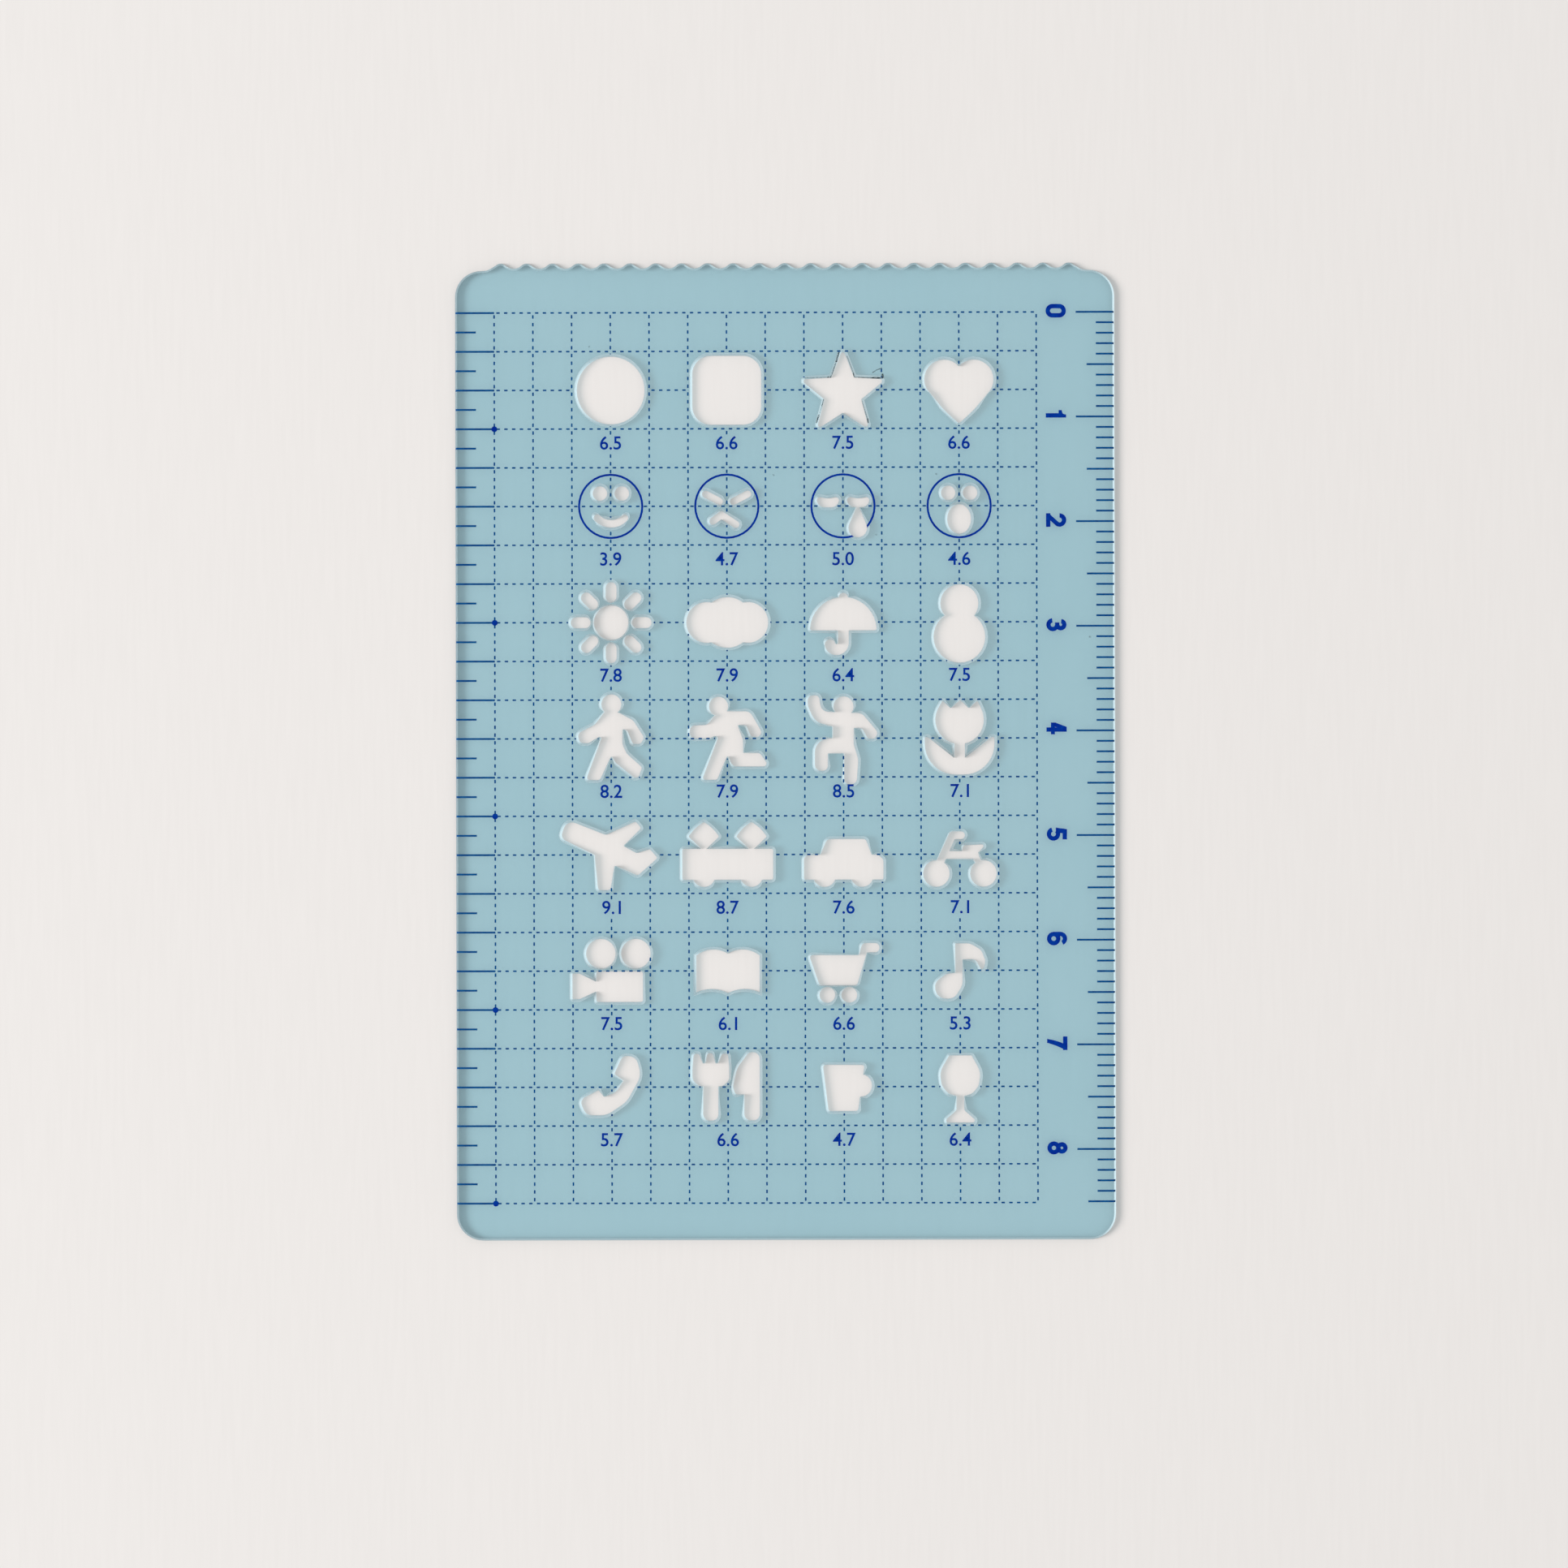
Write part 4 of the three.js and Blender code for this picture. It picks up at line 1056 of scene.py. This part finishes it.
@dataclass
class PageGrid:
    """The dashed page grid and the places of the figures on it.

    Attributes:
        edges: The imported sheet's edges.
        left: Place of the first upright line.
        top: Place of the first level line.
        pitch: Size of a grid square.
        columns: Squares across.
        rows: Squares from top to bottom.
        dashes: Dashes to a square.
        dash: Sizes of a dash.
        cell_step: Grid squares from one figure to the next.
        first_column: Grid line of the first figure's middle.
        first_row: Grid line of the first figure's middle, from the top.
        figure_columns: Figures in a row.
        figure_rows: Rows of figures.
        masked: Dashes left out behind a number, counted from the line above it.
        shortest: Length under which the rest of a dash is left out.
        rim_gap: Distance that a dash keeps from a cut edge.
    """

    edges: SheetEdges
    left: float = -27.75 * MM
    top: float = 41.95 * MM
    pitch: float = 3.7 * MM
    columns: int = 14
    rows: int = 23
    dashes: int = 5
    dash: MarkSizes = MarkSizes(0.35 * MM, 0.155 * MM)
    cell_step: int = 3
    first_column: int = 3
    first_row: int = 2
    figure_columns: int = 4
    figure_rows: int = 7
    masked: tuple[int, ...] = (1, 2)
    shortest: float = 0.06 * MM
    rim_gap: float = 0.2 * MM

    def cells(self) -> list[tuple[int, int]]:
        """Lists the grid crossing of each figure, row by row."""
        return [
            (self.first_column + self.cell_step * c, self.first_row + self.cell_step * r)
            for r in range(self.figure_rows)
            for c in range(self.figure_columns)
        ]

    def _line_marks(
        self, line: Line, level: float, first: float, squares: int, skipped: set[int]
    ) -> list[Mark]:
        """Makes the dashes of one grid line, cut off at the openings.

        Args:
            line: The way the line runs.
            level: Its place on the other axis.
            first: Where its first square starts.
            squares: How many squares it passes.
            skipped: Dashes that are left out, counted from its start.

        Returns:
            The marks that lie on plastic.
        """
        step = self.pitch / self.dashes
        way = 1.0 if line is Line.ACROSS else -1.0
        spans = self.edges.spans(line, level)
        marks = []
        for k in range(squares * self.dashes):
            if k in skipped:
                continue
            middle = first + way * (k + 0.5) * step
            for start, end in spans:
                low = max(middle - self.dash.length / 2, start + self.rim_gap)
                high = min(middle + self.dash.length / 2, end - self.rim_gap)
                if high - low < self.shortest:
                    continue
                place = (low + high) / 2
                x, y = (place, level) if line is Line.ACROSS else (level, place)
                marks.append(Mark(x, y, high - low, line))
        return marks

    def build(self, stamp: MarkStamp, ink: Material) -> Object:
        """Lays the dashes of all lines.

        Args:
            stamp: The stamp of a dash.
            ink: Its material.

        Returns:
            The finished piece.
        """
        marks = []
        for row in range(self.rows + 1):
            level = self.top - row * self.pitch
            marks += self._line_marks(Line.ACROSS, level, self.left, self.columns, set())
        for column in range(self.columns + 1):
            skipped = {
                (row + 1) * self.dashes + k for c, row in self.cells() if c == column for k in self.masked
            }
            level = self.left + column * self.pitch
            marks += self._line_marks(Line.ALONG, level, self.top, self.rows, skipped)
        return stamp.lay("page_grid", ink, marks, inputs_of(self.dash), self.edges.top)


def cad_marks(prefix: str) -> dict[str, tuple[float, float, float]]:
    """Gives the level, left end and right end of CAD marks whose names start alike, by node name."""
    boxes = {name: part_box(name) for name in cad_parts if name.startswith(prefix)}
    return {name: ((low.y + high.y) / 2, low.x, high.x) for name, (low, high) in boxes.items()}


@dataclass
class EdgeMarks:
    """The marks that run in from the two long edges, and the dots that end some of them.

    Attributes:
        grid: The page grid.
        sheet: The sheet.
        half_row: Length of the short marks between the rows on the left, from the edge.
        millimetre: Length of the millimetre marks on the right, from the edge.
        scale_length: Millimetres on the scale.
        group: Millimetres between the longer marks.
        dot_join: Where a mark meets its dot, as a share of the dot's radius.
        dot_round: Radius of a dot's corners, as a share of its own.
        dot_steps: Steps of a quarter of a dot.
    """

    grid: PageGrid
    sheet: Sheet
    half_row: float = 2.0 * MM
    millimetre: float = 1.76 * MM
    scale_length: int = 85
    group: int = 5
    dot_join: float = 0.95
    dot_round: float = 0.98
    dot_steps: int = 5

    def __post_init__(self) -> None:
        """Makes the stamp that follows the sheet's rim, and reads where the edges are."""
        self.stamp = RimStamp(self.sheet.upper_steps)
        self.left, self.right = [corner.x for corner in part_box(SHEET_NODE)]

    def _lay(
        self, name: str, ink: Material, line: Line, levels: list[float], length: float, *nodes: str
    ) -> None:
        """Lays marks of one length along an edge.

        Args:
            name: Name of the piece.
            ink: Its material.
            line: Across from the left edge, or back from the right one.
            levels: Place of each mark along the edge.
            length: Length of a mark, from the edge.
            nodes: CAD nodes that the piece stands for.
        """
        x = self.left if line is Line.ACROSS else self.right
        marks = [Mark(x, level, length, line) for level in levels]
        values = inputs_of(MarkSizes(length)) | inputs_of(self.sheet.outline)
        self.stamp.lay(name, ink, marks, values, self.grid.edges.top, *nodes)

    def _rows(self, stamp: MarkStamp, bold: Material, fine: Material) -> None:
        """Lays the row marks of the left edge and their dots.

        Args:
            stamp: The stamp of the dots.
            bold: Ink of the dots.
            fine: Ink of the marks.
        """
        grid = self.grid
        rows = cad_marks("row_tick_")
        inner = min(right for _, _, right in rows.values())
        radius = max(right for _, _, right in rows.values()) - inner
        dotted = {name: row for name, row in rows.items() if row[2] - inner > radius / 2}
        plain = {name: row for name, row in rows.items() if name not in dotted}
        dots = [level for level, _, _ in dotted.values()]
        length = inner - self.left
        self._lay("row_marks", fine, Line.ACROSS, [level for level, _, _ in plain.values()], length, *plain)
        self._lay("dotted_row_marks", fine, Line.ACROSS, dots, length - self.dot_join * radius, *dotted)
        halves = [grid.top - (row + 0.5) * grid.pitch for row in range(grid.rows)]
        self._lay("half_row_marks", fine, Line.ACROSS, halves, self.half_row)
        dot = MarkSizes(2 * radius, 2 * radius, corner=self.dot_round * radius, corner_steps=self.dot_steps)
        marks = [Mark(inner, level, dot.length, Line.ACROSS) for level in dots]
        stamp.lay("row_dots", bold, marks, inputs_of(dot), grid.edges.top)

    def _scale(self, fine: Material) -> None:
        """Lays the centimetre scale of the right edge.

        Args:
            fine: Ink of the marks.
        """
        for prefix in ("centimetre", "half_centimetre"):
            ticks = cad_marks(prefix + "_tick_")
            levels = [level for level, _, _ in ticks.values()]
            length = self.right - min(left for _, left, _ in ticks.values())
            self._lay(prefix + "_marks", fine, Line.BACK, levels, length, *ticks)
        levels = [self.grid.top - k * MM for k in range(self.scale_length) if k % self.group]
        self._lay("millimetre_marks", fine, Line.BACK, levels, self.millimetre)

    def build(self, stamp: MarkStamp, bold: Material, fine: Material) -> None:
        """Lays the marks of both edges, with the dots by the given stamp in bold ink."""
        self._rows(stamp, bold, fine)
        self._scale(fine)


@dataclass
class FigureNumbers:
    """A plain number under each cut-out, its largest size in millimetres.

    Attributes:
        grid: The page grid.
        digit_height: Height of a digit.
        weight: How much each side of a stroke is thickened.
        drop: From a figure's middle down to its number's middle.
        font_digit: Height of the font's digits as a share of its size.
        curve_steps: Steps of a round stretch.
        weld: Distance under which points are one.
    """

    grid: PageGrid
    digit_height: float = 1.3 * MM
    weight: float = 0.02 * MM
    drop: float = 5.03 * MM
    font_digit: float = 0.73
    curve_steps: int = 4
    weld: float = 1e-8

    def _sizes(self) -> list[tuple[float, float, float]]:
        """Measures each figure.

        Returns:
            Middle of each figure and its largest size.
        """
        grid = self.grid
        middles = np.array([
            (grid.left + column * grid.pitch, grid.top - row * grid.pitch) for column, row in grid.cells()
        ])
        lows = np.full((len(middles), 2), np.inf)
        highs = -lows
        for loop in grid.edges.openings():
            nearest = np.linalg.norm(middles - loop.mean(axis=0), axis=1).argmin()
            lows[nearest] = np.minimum(lows[nearest], loop.min(axis=0))
            highs[nearest] = np.maximum(highs[nearest], loop.max(axis=0))
        largest = (highs - lows).max(axis=1)
        return [(x, y, size) for (x, y), size in zip(middles, largest)]

    def _number(self, size: float) -> Mesh:
        """Writes one number.

        Args:
            size: The size that it tells.

        Returns:
            Its mesh, not yet in place.
        """
        text = bpy.data.curves.new("number", "FONT")
        text.body = f"{size / MM:.1f}"
        text.align_x = "CENTER"
        text.align_y = "CENTER"
        text.size = self.digit_height / self.font_digit
        text.extrude = INK_FILM / 2
        text.offset = self.weight
        text.resolution_u = self.curve_steps
        holder = add_object("number", text)
        shown = holder.evaluated_get(bpy.context.evaluated_depsgraph_get())
        mesh = bpy.data.meshes.new_from_object(shown)
        bpy.data.objects.remove(holder)
        return mesh

    def build(self, ink: Material) -> Object:
        """Writes the numbers as one piece of ink film.

        Args:
            ink: Material of the print.

        Returns:
            The finished piece.
        """
        joined = bmesh.new()
        for x, y, size in self._sizes():
            number = self._number(size)
            points = np.array([v.co[:] for v in number.vertices])
            middle = (points.min(axis=0) + points.max(axis=0)) / 2
            shift = np.array([x, y - self.drop, self.grid.edges.top + INK_FILM / 2]) - middle
            for vertex in number.vertices:
                vertex.co += Vector(shift)
            joined.from_mesh(number)
            bpy.data.meshes.remove(number)
        bmesh.ops.remove_doubles(joined, verts=joined.verts, dist=self.weld)
        bmesh.ops.recalc_face_normals(joined, faces=joined.faces)
        mesh = bpy.data.meshes.new("figure_numbers")
        joined.to_mesh(mesh)
        joined.free()
        mesh.materials.clear()
        mesh.materials.append(ink)
        return place_piece("figure_numbers", mesh, Slot.INK)


def dress_cad_print(ink: Material) -> None:
    """Gives the CAD numerals and circles the ink's material.

    Args:
        ink: The material.
    """
    for name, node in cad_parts.items():
        if node.hide_render:
            continue
        node.data.materials.clear()
        node.data.materials.append(ink)
        node.visible_shadow = False
        LOG.info("%s: inked", name)


# The studio


@dataclass
class Studio:
    """Floor, light and camera.

    Attributes:
        view_width: Width of the picture at the printed face.
        view_centre: What the middle of the picture shows.
        view_turn: Turn of the camera about its axis, in degrees.
        distance: From the printed face to the camera.
        sensor: Width of the camera's sensor, in millimetres.
        floor_size: Side of the floor.
        floor_gap: From the sheet down to the floor.
        key_side: Compass side of the lamp, in degrees from +X.
        key_height: Height of the lamp above the horizon, in degrees.
        key_distance: From the sheet to the lamp.
        key_size: Width of the lamp.
        key_share: The lamp's share of the light on the floor.
    """

    view_width: float = 149.84 * MM
    view_centre: tuple[float, float] = (-0.142 * MM, -3.11 * MM)
    view_turn: float = -0.123
    distance: float = 0.6
    sensor: float = 36.0
    floor_size: float = 3.0
    floor_gap: float = 0.06 * MM
    key_side: float = 182.0
    key_height: float = 31.5
    key_distance: float = 3.0
    key_size: float = 1.3
    key_share: float = 0.5

    def _floor(self, paper: Material) -> None:
        """Lays the floor just under the sheet.

        Args:
            paper: Its material.
        """
        half = self.floor_size / 2
        mesh = bpy.data.meshes.new("floor")
        corners = [(-half, -half), (half, -half), (half, half), (-half, half)]
        mesh.from_pydata([(x, y, -self.floor_gap) for x, y in corners], [], [(0, 1, 2, 3)])
        mesh.materials.append(paper)
        add_object("floor", mesh)

    def _camera(self, face: float) -> None:
        """Hangs the camera over the sheet.

        Args:
            face: Level of the printed face.
        """
        data = bpy.data.cameras.new("camera")
        data.sensor_width = self.sensor
        data.lens = self.sensor * self.distance / self.view_width
        camera = add_object("camera", data)
        camera.location = (*self.view_centre, face + self.distance)
        camera.rotation_euler = (0.0, 0.0, math.radians(self.view_turn))
        bpy.context.scene.camera = camera

    def _lights(self) -> None:
        """Sets the soft lamp and the even light all round, which together light white paper as white.

        The lamp has no mirror image in ink or plastic, which would hide the print in a view towards it.
        """
        side, height = math.radians(self.key_side), math.radians(self.key_height)
        lamp = bpy.data.lights.new("soft_lamp", "AREA")
        lamp.shape = "DISK"
        lamp.size = self.key_size
        lamp.energy = self.key_share * math.pi**2 * self.key_distance**2 / math.sin(height)
        holder = add_object("soft_lamp", lamp)
        holder.location = (
            self.key_distance * math.cos(side) * math.cos(height),
            self.key_distance * math.sin(side) * math.cos(height),
            self.key_distance * math.sin(height),
        )
        holder.rotation_euler = (math.pi / 2 - height, 0.0, side + math.pi / 2)
        holder.visible_glossy = False
        holder.visible_transmission = False
        world = bpy.data.worlds.new("even_light")
        world.use_nodes = True
        light = {"Color": (1.0, 1.0, 1.0, 1.0), "Strength": 1.0 - self.key_share}
        Nodes(world.node_tree).fill(world.node_tree.nodes["Background"], light)
        bpy.context.scene.world = world

    def build(self, paper: Material, face: float) -> None:
        """Sets up the picture.

        Args:
            paper: The floor's material.
            face: Level of the printed face.
        """
        self._floor(paper)
        self._camera(face)
        self._lights()
        bpy.context.scene.view_settings.view_transform = "Standard"


def main() -> None:
    """Builds the stencil and its studio."""
    logging.basicConfig(level=logging.INFO, format="%(name)s %(message)s")
    inks = Inks()
    bold, fine = inks.bold.build(), inks.fine.build()
    edges = SheetEdges(SHEET_NODE)
    Studio().build(PaperFinish().build(), edges.top)
    sheet = Sheet(edges)
    sheet.build(SheetFinishes())
    grid = PageGrid(edges)
    stamp = MarkStamp()
    grid.build(stamp, fine)
    EdgeMarks(grid, sheet).build(stamp, bold, fine)
    FigureNumbers(grid).build(bold)
    dress_cad_print(bold)


if __name__ == "__main__":
    main()
